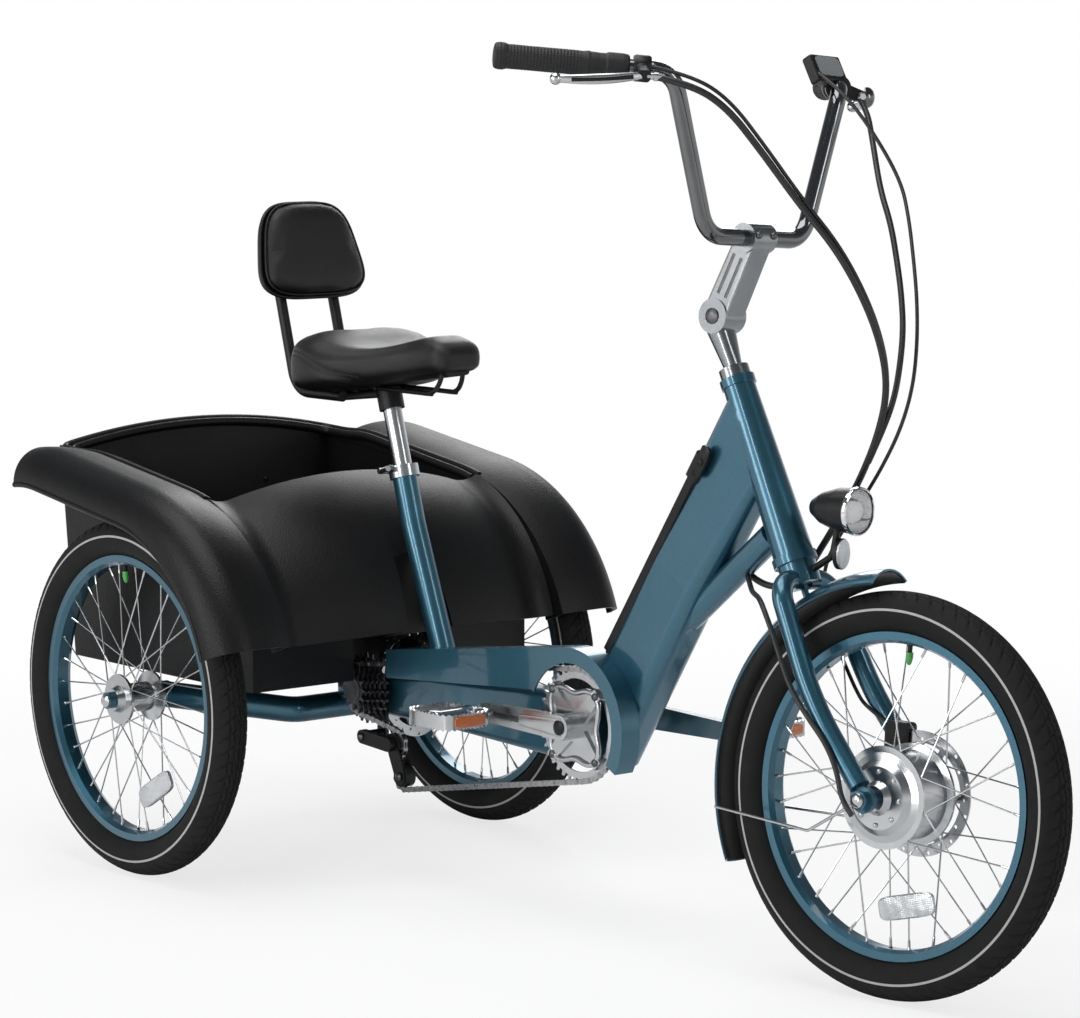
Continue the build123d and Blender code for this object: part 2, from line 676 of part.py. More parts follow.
def battery_block(grow):
    base = BATTERY_ABOVE_FOOT - grow
    length = BATTERY_LENGTH + 2 * grow
    depth = BATTERY_DEPTH + 2 * grow
    centre = -DOWN_TUBE_DEPTH / 2 - BATTERY_PROUD + BATTERY_DEPTH / 2
    drawn = Pos(centre, 0) * RectangleRounded(depth, BATTERY_WIDTH + 2 * grow, BATTERY_CORNER)
    return extrude(DOWN_PLANE.offset(base) * drawn, amount=length)


def down_tube_block():
    """A deep rounded tube that narrows into the back of the head tube."""
    drawn = RectangleRounded(DOWN_TUBE_DEPTH, DOWN_TUBE_WIDTH, DOWN_TUBE_CORNER)
    foot = extrude(DOWN_PLANE * drawn, amount=DOWN_TUBE_STRAIGHT)
    neck = DOWN_PLANE.offset(DOWN_TUBE_STRAIGHT) * drawn
    middle = on_steerer((GUSSET_LOW + GUSSET_HIGH) / 2)
    plane = Plane(origin=middle, x_dir=-STEER_UP, z_dir=STEER_AHEAD)
    head_end = plane * RectangleRounded(GUSSET_HIGH - GUSSET_LOW, GUSSET_WIDTH, GUSSET_CORNER)
    return foot + loft([neck, head_end])


def bearing_cup(height, radius):
    plane = Plane(origin=on_steerer(height), z_dir=STEER_UP)
    return extrude(plane * Circle(radius + CUP_LIP), amount=CUP_HEIGHT)


def front_frame():
    shape = down_tube_block() + head_tube()
    shape += bearing_cup(HEAD_BOTTOM, HEAD_RADIUS_BOTTOM)
    shape += bearing_cup(HEAD_TOP - CUP_HEIGHT, HEAD_RADIUS_TOP)
    strut_foot = fore(STRUT_FOOT[0], 0, STRUT_FOOT[1])
    strut_head = fore(STRUT_HEAD[0], 0, STRUT_HEAD[1])
    shape += rod(strut_foot, strut_head, STRUT_DIAMETER)
    shape -= steerer_bore()
    shape -= battery_block(FACE_GAP)
    shape -= crosswise(BB, BB_SHELL_RADIUS, -BB_SHELL_WIDTH, BB_SHELL_WIDTH)
    return shape


nodes["front_frame"] = front_frame()
nodes["battery"] = battery_block(0)


# Rear beam from the bottom bracket back to the axle tube, with the bottom bracket shell
JACKSHAFT = at(JACKSHAFT_FORWARD, 0, JACKSHAFT_HEIGHT)


def rear_frame():
    outline = [
        (BEAM_REAR, BEAM_TOP_REAR), BEAM_TOP_KNEE, (BB_FORWARD + BEAM_AHEAD, BEAM_TOP_FRONT),
        (BB_FORWARD + BEAM_AHEAD, BEAM_BOTTOM_FRONT), BEAM_BOTTOM_KNEE, (BEAM_REAR, BEAM_BOTTOM_REAR),
    ]
    drawn = make_face(Polyline(*[(REAR_AXLE_X + x, z) for x, z in outline], close=True))
    shape = side_plate(drawn, -BEAM_WIDTH / 2, BEAM_WIDTH / 2)
    shape = fillet(shape.edges().filter_by(Axis.Y, reverse=True).group_by(Axis.Y)[0], BEAM_CORNER)
    shape = fillet(shape.edges().filter_by(Axis.Y, reverse=True).group_by(Axis.Y)[-1], BEAM_CORNER)
    shape -= down_tube_block()
    shape += crosswise(BB, BB_SHELL_RADIUS, -BB_SHELL_WIDTH / 2, BB_SHELL_WIDTH / 2)
    shape -= crosswise(BB, SPINDLE_RADIUS + RUNNING_GAP, -BB_SHELL_WIDTH, BB_SHELL_WIDTH)
    shape -= crosswise(JACKSHAFT, JACKSHAFT_RADIUS + RUNNING_GAP, -BEAM_WIDTH, BEAM_WIDTH)
    return shape - nodes["axle_carrier"]


nodes["rear_frame"] = rear_frame()

# Seat tube with its kink, post, quick-release collar and saddle carrier
seat_lean = math.radians(SEAT_ANGLE)
SEAT_UP = Vector(-math.cos(seat_lean), 0, math.sin(seat_lean))
SEAT_KINK = at(SEAT_TUBE_KINK[0], 0, SEAT_TUBE_KINK[1])
SEAT_TUBE_TOP = SEAT_KINK + SEAT_UP * SEAT_TUBE_UPPER
SEAT_POST_TOP = SEAT_TUBE_TOP + SEAT_UP * (SEAT_POST_LENGTH - SEAT_POST_SUNK)


def along_seat(spot, radius, length):
    return extrude(Plane(origin=spot, z_dir=SEAT_UP) * Circle(radius), amount=length)


def seat_tube_bar(diameter):
    foot = at(SEAT_TUBE_FOOT[0], 0, SEAT_TUBE_FOOT[1] - SEAT_TUBE_DIAMETER / 2)
    return tube([foot, SEAT_KINK, SEAT_TUBE_TOP], SEAT_TUBE_BEND, diameter)


def seat_tube():
    shape = seat_tube_bar(SEAT_TUBE_DIAMETER)
    bore = SEAT_POST_RADIUS + SEAT_GAP
    shape -= along_seat(SEAT_TUBE_TOP - SEAT_UP * SEAT_POST_SUNK, bore, SEAT_POST_LENGTH)
    return shape - nodes["rear_frame"]


def seat_collar():
    base = SEAT_TUBE_TOP - SEAT_UP * COLLAR_HEIGHT
    outer = SEAT_TUBE_DIAMETER / 2 + COLLAR_WALL
    shape = along_seat(base, outer, COLLAR_HEIGHT)
    ear = base + SEAT_UP * (COLLAR_HEIGHT / 2)
    ear_end = ear - Vector(outer + COLLAR_EAR, 0, 0)
    shape += rod(ear - Vector(outer - COLLAR_WALL, 0, 0), ear_end, COLLAR_EAR_DIAMETER)
    bolt = ear - Vector(outer + COLLAR_EAR / 2, 0, 0)
    half = Vector(0, COLLAR_BOLT_HALF, 0)
    shape += rod(bolt - half, bolt + half, COLLAR_BOLT)
    lever_root = Vector(0, COLLAR_BOLT_HALF - COLLAR_LEVER / 2, 0)
    shape += rod(bolt - lever_root, bolt + Vector(*COLLAR_LEVER_TIP), COLLAR_LEVER)
    bore = SEAT_TUBE_DIAMETER / 2 + SEAT_GAP
    return shape - along_seat(base - SEAT_UP * COLLAR_WALL, bore, COLLAR_HEIGHT + 2 * COLLAR_WALL)


nodes["seat_tube"] = seat_tube()
nodes["seat_collar"] = seat_collar()
nodes["seat_post"] = along_seat(SEAT_POST_TOP - SEAT_UP * SEAT_POST_LENGTH, SEAT_POST_RADIUS, SEAT_POST_LENGTH)


def saddle_carrier():
    """Clamp on the post, two rails under the saddle and their cross ties."""
    clamp = SEAT_POST_TOP - SEAT_UP * SADDLE_CLAMP_HEIGHT
    rail_height = SADDLE_BOTTOM - RAIL_DIAMETER / 2 - FACE_GAP
    reach = (rail_height - RAIL_DIAMETER / 2 - clamp.Z) / SEAT_UP.Z
    shape = along_seat(clamp, SEAT_POST_RADIUS + SADDLE_CLAMP_WALL, reach)
    for side in (-RAIL_SPACING / 2, RAIL_SPACING / 2):
        shape += rod(
            at(SADDLE_REAR + RAIL_INSET, side, rail_height),
            at(SADDLE_NOSE - 2 * RAIL_INSET, side, rail_height), RAIL_DIAMETER)
    middle = Vector(SEAT_POST_TOP.X, 0, rail_height)
    shape += rod(
        middle - Vector(0, RAIL_SPACING / 2 + SADDLE_CLAMP_WALL, 0),
        middle + Vector(0, RAIL_SPACING / 2 + SADDLE_CLAMP_WALL, 0), SADDLE_CLAMP_BOLT)
    bore_foot = clamp - SEAT_UP * SADDLE_CLAMP_WALL
    return shape - along_seat(bore_foot, SEAT_POST_RADIUS + SEAT_GAP, SADDLE_CLAMP_HEIGHT + SADDLE_CLAMP_WALL)


nodes["saddle_carrier"] = saddle_carrier()


def saddle_side():
    """Side view of the saddle: flat behind, nose lifted underneath, top dipped in the middle."""
    length = SADDLE_NOSE - SADDLE_REAR
    top = Spline(
        (SADDLE_NOSE, SADDLE_TOP - SADDLE_NOSE_DROP), (SADDLE_NOSE - length * SADDLE_CREST_SHARE, SADDLE_TOP),
        (SADDLE_REAR + length * SADDLE_DIP_SHARE, SADDLE_TOP - SADDLE_DIP), (SADDLE_REAR, SADDLE_TOP))
    under = Polyline(
        top @ 1, (SADDLE_REAR, SADDLE_BOTTOM), (SADDLE_REAR + SADDLE_FLAT, SADDLE_BOTTOM),
        (SADDLE_NOSE, SADDLE_BOTTOM + SADDLE_NOSE_LIFT), top @ 0)
    return Pos(REAR_AXLE_X, 0) * make_face(top + under)


def saddle():
    nose = Pos(REAR_AXLE_X + SADDLE_NOSE - SADDLE_NOSE_RADIUS, 0) * Circle(SADDLE_NOSE_RADIUS)
    wing_x = REAR_AXLE_X + SADDLE_REAR + SADDLE_WING_RADIUS
    wing_y = SADDLE_WIDTH / 2 - SADDLE_WING_RADIUS
    outline = nose
    for side in (-wing_y, wing_y):
        outline += Pos(wing_x, side) * Circle(SADDLE_WING_RADIUS)
    outline = make_hull(outline.edges())
    shape = extrude(Pos(0, 0, SADDLE_BOTTOM) * outline, amount=SADDLE_TOP - SADDLE_BOTTOM)
    shape = shape & side_plate(saddle_side(), -SADDLE_WIDTH / 2, SADDLE_WIDTH / 2)
    top = shape.faces().sort_by(Axis.Z)[-1]
    return fillet(top.edges(), SADDLE_EDGE)


nodes["saddle"] = saddle()


# Backrest: a rounded trapezoid pad on two bent posts from the saddle carrier
def backrest_pad():
    lean = math.radians(BACKREST_LEAN)
    up = Vector(-math.sin(lean), 0, math.cos(lean))
    across = Vector(0, 1, 0)
    plane = Plane(origin=at(BACKREST_FORWARD, 0, BACKREST_BOTTOM), x_dir=across, z_dir=across.cross(up))
    bottom = BACKREST_WIDTH / 2
    top = BACKREST_TOP_WIDTH / 2
    outline = make_face(Polyline(
        (-bottom, 0), (bottom, 0), (top, BACKREST_HEIGHT), (-top, BACKREST_HEIGHT), close=True))
    outline = fillet(outline.vertices(), BACKREST_CORNER)
    shape = extrude(plane * outline, amount=BACKREST_THICKNESS)
    front = shape.faces().sort_by(Axis(plane.origin, plane.z_dir))[-1]
    return fillet(front.edges(), BACKREST_EDGE)


def backrest_frame():
    shape = None
    lean = math.radians(BACKREST_LEAN)
    rail_height = SADDLE_BOTTOM - RAIL_DIAMETER / 2 - FACE_GAP
    low = rail_height - BACKREST_POST_DROP
    for sign in (-1, 1):
        side = sign * BACKREST_POST_SPACING / 2
        back = BACKREST_FORWARD - (BACKREST_POST_DIAMETER / 2 + FACE_GAP) / math.cos(lean)
        top = at(back - math.tan(lean) * BACKREST_HEIGHT / 2, side, BACKREST_BOTTOM + BACKREST_HEIGHT / 2)
        elbow = at(back + (BACKREST_BOTTOM - low) * math.tan(lean), side, low)
        foot = at(SADDLE_REAR + RAIL_INSET + BACKREST_FOOT, side, low)
        bar = tube([top, elbow, foot], BACKREST_POST_BEND, BACKREST_POST_DIAMETER)
        shape = bar if shape is None else shape + bar
    cross = at(SADDLE_REAR + RAIL_INSET + BACKREST_TIE, 0, low)
    half = Vector(0, BACKREST_POST_SPACING / 2, 0)
    shape += rod(cross - half, cross + half, BACKREST_TIE_DIAMETER)
    lug_height = rail_height - RAIL_DIAMETER / 2 - FACE_GAP
    for side in (-RAIL_SPACING / 2, RAIL_SPACING / 2):
        shape += rod(Vector(cross.X, side, cross.Z), Vector(cross.X, side, lug_height), BACKREST_LUG_DIAMETER)
    return shape


nodes["backrest_pad"] = backrest_pad()
nodes["backrest_frame"] = backrest_frame()


# Cargo tub: moulded walls and floor with a raised tunnel over the drive
def tub_side_outline():
    radius = PANEL_EDGE_RADIUS - 2 * TUB_WALL
    low = math.acos((TUB_FRONT - PANEL_AXIS_FORWARD) / radius)
    high = math.radians(PANEL_TOP_ANGLE)

    def around(angle):
        forward = PANEL_AXIS_FORWARD + radius * math.cos(angle)
        return (forward, PANEL_AXIS_HEIGHT + radius * math.sin(angle))

    arc = ThreePointArc(around(low), around((low + high) / 2), around(high))
    rear_top = TUB_REAR_HEIGHT - FENDER_CREST_RADIUS + PANEL_CENTRE_RADIUS - TUB_WALL
    rear_share = (rear_top - TUB_FLOOR) / (TUB_REAR_HEIGHT - TUB_FLOOR)
    rear_end = (TUB_REAR_FOOT - tub_lean * rear_share, rear_top)
    run = Polyline(arc @ 1, rear_end, (TUB_REAR_FOOT, TUB_FLOOR), (TUB_FRONT, TUB_FLOOR), arc @ 0)
    return Pos(REAR_AXLE_X, 0) * make_face(arc + run)


def tub_rear_wall():
    foot = at(TUB_REAR_FOOT, 0, TUB_FLOOR)
    top = at(TUB_REAR_TOP, 0, TUB_REAR_HEIGHT)
    up = (top - foot).normalized()
    plane = Plane(origin=foot, x_dir=Vector(0, 1, 0), z_dir=Vector(0, 1, 0).cross(up))
    side_length = (top - foot).length
    crown = side_length + TUB_REAR_CROWN - TUB_REAR_HEIGHT
    half = TUB_HALF_WIDTH
    arc = ThreePointArc((half, side_length), (0, crown), (-half, side_length))
    face = make_face(arc + Polyline((-half, side_length), (-half, 0), (half, 0), (half, side_length)))
    return extrude(plane * face, amount=TUB_WALL)


def tub_front_wall():
    seat = TUB_WALL / 2 + FACE_GAP
    ahead = TUB_FRONT - PANEL_AXIS_FORWARD
    fall = (PANEL_CENTRE_RADIUS - PANEL_VALLEY_RADIUS) * (TUB_HALF_WIDTH / PANEL_VALLEY_SIDE)**2
    side_rise = PANEL_AXIS_HEIGHT + math.sqrt((PANEL_CENTRE_RADIUS - fall - seat)**2 - ahead**2)
    crown = PANEL_AXIS_HEIGHT + math.sqrt((PANEL_CENTRE_RADIUS - seat)**2 - ahead**2)
    half = TUB_HALF_WIDTH
    arc = ThreePointArc((half, side_rise), (0, crown), (-half, side_rise))
    run = Polyline((-half, side_rise), (-half, TUB_FLOOR), (half, TUB_FLOOR), (half, side_rise))
    face = make_face(arc + run)
    plane = Plane(origin=at(TUB_FRONT, 0, 0), x_dir=Vector(0, 1, 0), z_dir=Vector(1, 0, 0))
    return extrude(plane * face, amount=-TUB_WALL)


def tunnel(shrink):
    length = TUB_FRONT - TUNNEL_REAR
    width = TUNNEL_WIDTH - 2 * shrink
    block = Box(length, width, TUNNEL_TOP - TUB_FLOOR, align=(Align.MIN, Align.CENTER, Align.MIN))
    return Pos(at(TUNNEL_REAR + shrink, 0, TUB_FLOOR - shrink)) * block


def cargo_tub():
    shell = tub_side_outline()
    wall = side_plate(shell, TUB_HALF_WIDTH - TUB_WALL, TUB_HALF_WIDTH)
    shape = wall + mirror(wall, about=Plane.XZ)
    length = TUB_FRONT - TUB_REAR_FOOT
    floor = Box(length, 2 * TUB_HALF_WIDTH, TUB_WALL, align=(Align.MIN, Align.CENTER, Align.MIN))
    shape += Pos(at(TUB_REAR_FOOT, 0, TUB_FLOOR)) * floor
    shape += tub_rear_wall()
    shape += tub_front_wall()
    shape += tunnel(0)
    return shape - tunnel(TUB_WALL)


nodes["cargo_tub"] = cargo_tub()


# Rear fenders: an arched sheet turned round the wheel, run straight back and turned down at the tail
def fender_section(crest):
    """Closed section of the sheet as (radius, side), with its crest at the given radius."""
    half = FENDER_WALL / 2
    skirt = TUB_HALF_WIDTH
    wall = skirt + FENDER_WALL
    inner_middle = (skirt + FENDER_CREST_SIDE) / 2
    lip_middle = FENDER_LIP_SIDE - FENDER_LIP_BULGE
    inner_drop = FENDER_INNER_DROP * FENDER_INNER_SHARE
    lip_drop = FENDER_LIP_DROP * FENDER_LIP_SHARE
    outline = (
        Line((crest - FENDER_SKIRT_DROP, skirt), (crest - FENDER_INNER_DROP + half, skirt))
        + ThreePointArc(
            (crest - FENDER_INNER_DROP + half, skirt), (crest - inner_drop + half, inner_middle),
            (crest + half, FENDER_CREST_SIDE))
        + ThreePointArc(
            (crest + half, FENDER_CREST_SIDE), (crest - lip_drop + half, lip_middle + half),
            (crest - FENDER_LIP_DROP, FENDER_LIP_SIDE + half))
        + Line(
            (crest - FENDER_LIP_DROP, FENDER_LIP_SIDE + half), (crest - FENDER_LIP_DROP, FENDER_LIP_SIDE - half))
        + ThreePointArc(
            (crest - FENDER_LIP_DROP, FENDER_LIP_SIDE - half), (crest - lip_drop - half, lip_middle - half),
            (crest - half, FENDER_CREST_SIDE))
        + ThreePointArc(
            (crest - half, FENDER_CREST_SIDE), (crest - inner_drop - half, inner_middle + half),
            (crest - FENDER_INNER_DROP - half, wall))
        + Line((crest - FENDER_INNER_DROP - half, wall), (crest - FENDER_SKIRT_DROP, wall))
        + Line((crest - FENDER_SKIRT_DROP, wall), (crest - FENDER_SKIRT_DROP, skirt))
    )
    return make_face(outline)


def fender_left():
    outward = Vector(math.cos(fender_end), 0, math.sin(fender_end))
    back = Vector(-math.sin(fender_end), 0, math.cos(fender_end))
    centre = at(0, 0, WHEEL_RADIUS)
    raised = Rot(0, -FENDER_END_ANGLE, 0) * fender_section(FENDER_CREST_RADIUS)
    shape = Pos(centre) * revolve(raised, axis=Axis.Y, revolution_arc=FENDER_END_ANGLE - FENDER_START_ANGLE)
    shape += extrude(Pos(centre) * raised, amount=FENDER_STRAIGHT, dir=back)
    tail_centre = centre + outward * (FENDER_CREST_RADIUS - FENDER_TAIL_RADIUS) + back * FENDER_STRAIGHT
    lowered = Rot(0, -FENDER_END_ANGLE - FENDER_TAIL_ANGLE, 0) * fender_section(FENDER_TAIL_RADIUS)
    return shape + Pos(tail_centre) * revolve(lowered, axis=Axis.Y, revolution_arc=FENDER_TAIL_ANGLE)


nodes["fender_left"] = fender_left()
nodes["fender_right"] = mirror(nodes["fender_left"], about=Plane.XZ)


# Front panel of the cargo body: a crowned sheet with a valley beside each fender, turned about a
# crosswise line, with a walled channel in which the seat tube stands
def panel_line():
    """The panel's section from right to left as (radius, side)."""
    right_valley = (PANEL_VALLEY_RADIUS, -PANEL_VALLEY_SIDE)
    left_valley = (PANEL_VALLEY_RADIUS, PANEL_VALLEY_SIDE)
    crown = ThreePointArc(right_valley, (PANEL_CENTRE_RADIUS, 0), left_valley)
    left = TangentArc(crown @ 1, (PANEL_EDGE_RADIUS, TUB_HALF_WIDTH), tangent=crown % 1)
    right = TangentArc(crown @ 0, (PANEL_EDGE_RADIUS, -TUB_HALF_WIDTH), tangent=-(crown % 0))
    return right, crown, left


def panel_turn(face):
    """Turn a section from the panel's top edge down to its foot."""
    raised = Rot(0, -PANEL_TOP_ANGLE, 0) * face
    swept = revolve(raised, axis=Axis.Y, revolution_arc=PANEL_TOP_ANGLE - PANEL_BOTTOM_ANGLE)
    return Pos(at(PANEL_AXIS_FORWARD, 0, PANEL_AXIS_HEIGHT)) * swept


def channel(grow):
    """A prism round the seat tube's lower run, wider at its foot."""
    plane = Plane(origin=at(CHANNEL_BACK - grow, 0, 0), x_dir=Vector(0, 1, 0), z_dir=Vector(1, 0, 0))
    foot = CHANNEL_FOOT_HALF + grow
    top = CHANNEL_TOP_HALF + grow
    outline = make_face(Polyline(
        (-foot, CHANNEL_FOOT), (foot, CHANNEL_FOOT), (top, CHANNEL_TOP), (-top, CHANNEL_TOP), close=True))
    return extrude(plane * outline, amount=CHANNEL_REACH)


def cargo_panel():
    right, crown, left = panel_line()
    core = Polyline(
        left @ 1, (PANEL_CORE_RADIUS, TUB_HALF_WIDTH), (PANEL_CORE_RADIUS, -TUB_HALF_WIDTH), right @ 1)
    shape = panel_turn(trace(Wire([right, crown, left]), line_width=TUB_WALL))
    walls = (channel(TUB_WALL) - channel(0)) & panel_turn(make_face(right + crown + left + core))
    shape = shape - channel(0) + walls
    shape -= seat_tube_bar(SEAT_TUBE_DIAMETER + 2 * PANEL_TUBE_GAP)
    return shape - nodes["fender_left"] - nodes["fender_right"]


nodes["cargo_panel"] = cargo_panel()


# Drive line: chainring and cranks, jackshaft with cogs and disc, chain and derailleur
def pitch_radius(teeth):
    return CHAIN_PITCH / (2 * math.sin(math.pi / teeth))


def toothed(teeth):
    """A sprocket face: a root circle with one tapered tooth per pitch."""
    pitch = pitch_radius(teeth)
    root = pitch - ROLLER_RADIUS
    face = Circle(root)
    foot = CHAIN_PITCH * TOOTH_FOOT_SHARE / 2
    tip = CHAIN_PITCH * TOOTH_TIP_SHARE / 2
    base = root - TOOTH_SUNK
    peak = pitch + TOOTH_RISE
    tooth = make_face(Polyline((base, -foot), (peak, -tip), (peak, tip), (base, foot), close=True))
    return face + [Rot(0, 0, 360.0 * index / teeth) * tooth for index in range(teeth)]


def flat_wheel(face, centre, side):
    """A flat toothed wheel of chain thickness, standing crosswise at a side."""
    turned = Rot(90, 0, 0) * extrude(face, amount=TOOTH_THICKNESS / 2, both=True)
    return Pos(Vector(centre.X, side, centre.Z)) * turned


def side_outline(*circles):
    """The hull of circles given as (forward, height, radius) in side view."""
    edges = []
    for x, z, radius in circles:
        edges += (Pos(x, z) * Circle(radius)).edges()
    return make_hull(edges)


def crankset():
    ring_pitch = pitch_radius(CHAINRING_TEETH)
    ring_face = toothed(CHAINRING_TEETH) - Circle(ring_pitch - ROLLER_RADIUS - RING_BAND)
    shape = flat_wheel(ring_face, BB, -CHAIN_LINE)
    spider = Circle(SPIDER_HUB_RADIUS)
    reach = ring_pitch - ROLLER_RADIUS - SPIDER_INSET
    for index in range(SPIDER_ARMS):
        arm = make_face(Polyline(
            (0, -SPIDER_FOOT_HALF), (reach, -SPIDER_TIP_HALF), (reach, SPIDER_TIP_HALF), (0, SPIDER_FOOT_HALF),
            close=True))
        spider += Rot(0, 0, SPIDER_TURN + 360.0 * index / SPIDER_ARMS) * arm
    spider_depth = SPIDER_OUTER - CHAIN_LINE
    spider_body = Rot(90, 0, 0) * extrude(spider, amount=spider_depth)
    shape += Pos(Vector(BB.X, -CHAIN_LINE, BB.Z)) * spider_body
    half = CRANK_THICKNESS / 2
    shape += crosswise(BB, SPINDLE_RADIUS, -CRANK_PLANE, CRANK_PLANE)
    for sign, side in ((-1, -CRANK_PLANE), (1, CRANK_PLANE)):
        end_x = BB.X + sign * CRANK_LENGTH
        arm = side_outline((BB.X, BB.Z, CRANK_HUB_RADIUS), (end_x, BB.Z, CRANK_END_RADIUS))
        shape += side_plate(arm, side - half, side + half)
        pin_centre = Vector(end_x, 0, BB.Z)
        outer = math.copysign(PEDAL_PLANE + PEDAL_WIDTH / 2 - PEDAL_PIN_INSET, side)
        shape += crosswise(pin_centre, PEDAL_PIN_RADIUS, min(side, outer), max(side, outer))
    return shape + crosswise(BB, CRANK_BOSS_RADIUS, -CRANK_PLANE, -CHAIN_LINE)


def pedal(sign):
    """A cage pedal: a barrel on the pin between two side rails and end bars."""
    centre_x = BB.X + sign * CRANK_LENGTH
    side = sign * PEDAL_PLANE
    face = RectangleRounded(PEDAL_LENGTH, PEDAL_WIDTH, PEDAL_CORNER)
    opening = PEDAL_LENGTH / 2 - PEDAL_BARREL - PEDAL_RAIL
    window = RectangleRounded(opening, PEDAL_WIDTH - 2 * PEDAL_RAIL, PEDAL_WINDOW_CORNER)
    shift = PEDAL_BARREL / 2 + PEDAL_LENGTH / 4 - PEDAL_RAIL / 2
    for spot in (-shift, shift):
        face -= Pos(spot, 0) * window
    body = extrude(face, amount=PEDAL_HEIGHT / 2, both=True)
    body = Pos(Vector(centre_x, side, BB.Z)) * body
    pin = Vector(centre_x, 0, BB.Z)
    return body - crosswise(pin, PEDAL_PIN_RADIUS + RUNNING_GAP, side - PEDAL_WIDTH, side + PEDAL_WIDTH)


nodes["crankset"] = crankset()
nodes["pedal_right"] = pedal(-1)
nodes["pedal_left"] = pedal(1)


def jackshaft():
    shape = crosswise(JACKSHAFT, JACKSHAFT_RADIUS, -JACKSHAFT_HALF, JACKSHAFT_HALF)
    for index, teeth in enumerate(COG_TEETH):
        side = -COG_INNER_SIDE - COG_SPACING * index
        shape += flat_wheel(toothed(teeth), JACKSHAFT, side)
    last = COG_INNER_SIDE + COG_SPACING * (len(COG_TEETH) - 1)
    shape += crosswise(JACKSHAFT, COG_CORE_RADIUS, -last - COG_SPACING / 2, -COG_INNER_SIDE + COG_SPACING / 2)
    disc_low = REAR_DISC_SIDE - DISC_BOSS_HALF
    disc_high = REAR_DISC_SIDE + DISC_BOSS_HALF
    return shape + crosswise(JACKSHAFT, DISC_BOSS_RADIUS - SEAT_GAP, disc_low, disc_high)


nodes["jackshaft"] = jackshaft()
rear_disc_spot = Pos(JACKSHAFT + Vector(0, REAR_DISC_SIDE, 0))
nodes["brake_disc_rear"] = rear_disc_spot * brake_disc(DISC_BOSS_RADIUS)


def chain_loop(grow):
    """Closed run over the sprockets: radii to the roller line, grown by an offset."""
    turns = (
        (BB, pitch_radius(CHAINRING_TEETH), 1),
        (JACKSHAFT, pitch_radius(COG_TEETH[CHAIN_COG]), 1),
        (at(UPPER_PULLEY[0], 0, UPPER_PULLEY[1]), PULLEY_PITCH, -1),
        (at(LOWER_PULLEY[0], 0, LOWER_PULLEY[1]), PULLEY_PITCH, 1),
    )
    wheels = [(Vector(spot.X, spot.Z), radius * sense + grow) for spot, radius, sense in turns]
    lines = []
    for index, (first, first_radius) in enumerate(wheels):
        second, second_radius = wheels[(index + 1) % len(wheels)]
        gap = second - first
        bearing = math.atan2(gap.Y, gap.X)
        left = bearing + math.acos((second_radius - first_radius) / gap.length)
        normal = Vector(math.cos(left), math.sin(left))
        lines.append((first - normal * first_radius, second - normal * second_radius))
    edges = []
    for index, (start, end) in enumerate(lines):
        edges.append(Line(start, end))
        centre, radius = wheels[(index + 1) % len(wheels)]
        following = lines[(index + 1) % len(lines)][0]
        arrive = math.atan2(end.Y - centre.Y, end.X - centre.X)
        leave = math.atan2(following.Y - centre.Y, following.X - centre.X)
        sweep_angle = (leave - arrive) % (2 * math.pi)
        if radius < 0:
            sweep_angle -= 2 * math.pi
        halfway = arrive + sweep_angle / 2
        middle = centre + Vector(math.cos(halfway), math.sin(halfway)) * abs(radius)
        edges.append(ThreePointArc(end, middle, following))
    return make_face(edges)


def chain():
    band = chain_loop(CHAIN_PLATE_HEIGHT / 2) - chain_loop(-CHAIN_PLATE_HEIGHT / 2)
    inner = TOOTH_THICKNESS / 2 + CHAIN_SIDE_GAP
    outer = inner + CHAIN_PLATE
    near = side_plate(band, -CHAIN_LINE - outer, -CHAIN_LINE - inner)
    far = side_plate(band, -CHAIN_LINE + inner, -CHAIN_LINE + outer)
    return Compound([*near.solids(), *far.solids()])


nodes["chain"] = chain()


def derailleur():
    upper = at(UPPER_PULLEY[0], 0, UPPER_PULLEY[1])
    lower = at(LOWER_PULLEY[0], 0, LOWER_PULLEY[1])
    pulley = PULLEY_PITCH - CHAIN_PLATE_HEIGHT / 2 - FACE_GAP
    shape = None
    for side in (-CHAIN_LINE - CAGE_GAP, -CHAIN_LINE + CAGE_GAP):
        cage = side_outline((upper.X, upper.Z, CAGE_RADIUS), (lower.X, lower.Z, CAGE_RADIUS))
        plate = side_plate(cage, side - CAGE_WALL / 2, side + CAGE_WALL / 2)
        shape = plate if shape is None else shape + plate
    for spot in (upper, lower):
        shape += crosswise(spot, pulley, -CHAIN_LINE - CAGE_GAP, -CHAIN_LINE + CAGE_GAP)
    hanger = at(HANGER[0], 0, HANGER[1])
    link_side = -CHAIN_LINE - CAGE_GAP - LINK_WIDTH / 2
    shape += side_plate(
        side_outline((hanger.X, hanger.Z, LINK_RADIUS), (upper.X, upper.Z, LINK_RADIUS)),
        link_side - LINK_WIDTH / 2, link_side + LINK_WIDTH / 2)
    tab_side = -BEAM_WIDTH / 2 - HANGER_WALL / 2
    shape += crosswise(hanger, HANGER_PIN_RADIUS, link_side, tab_side)
    tab_height = HANGER_TOP - HANGER[1] + LINK_RADIUS
    tab = Box(HANGER_WIDTH, HANGER_WALL, tab_height, align=(Align.CENTER, Align.CENTER, Align.MAX))
    return shape + Pos(at(HANGER[0], tab_side, HANGER_TOP)) * tab


nodes["derailleur"] = derailleur()


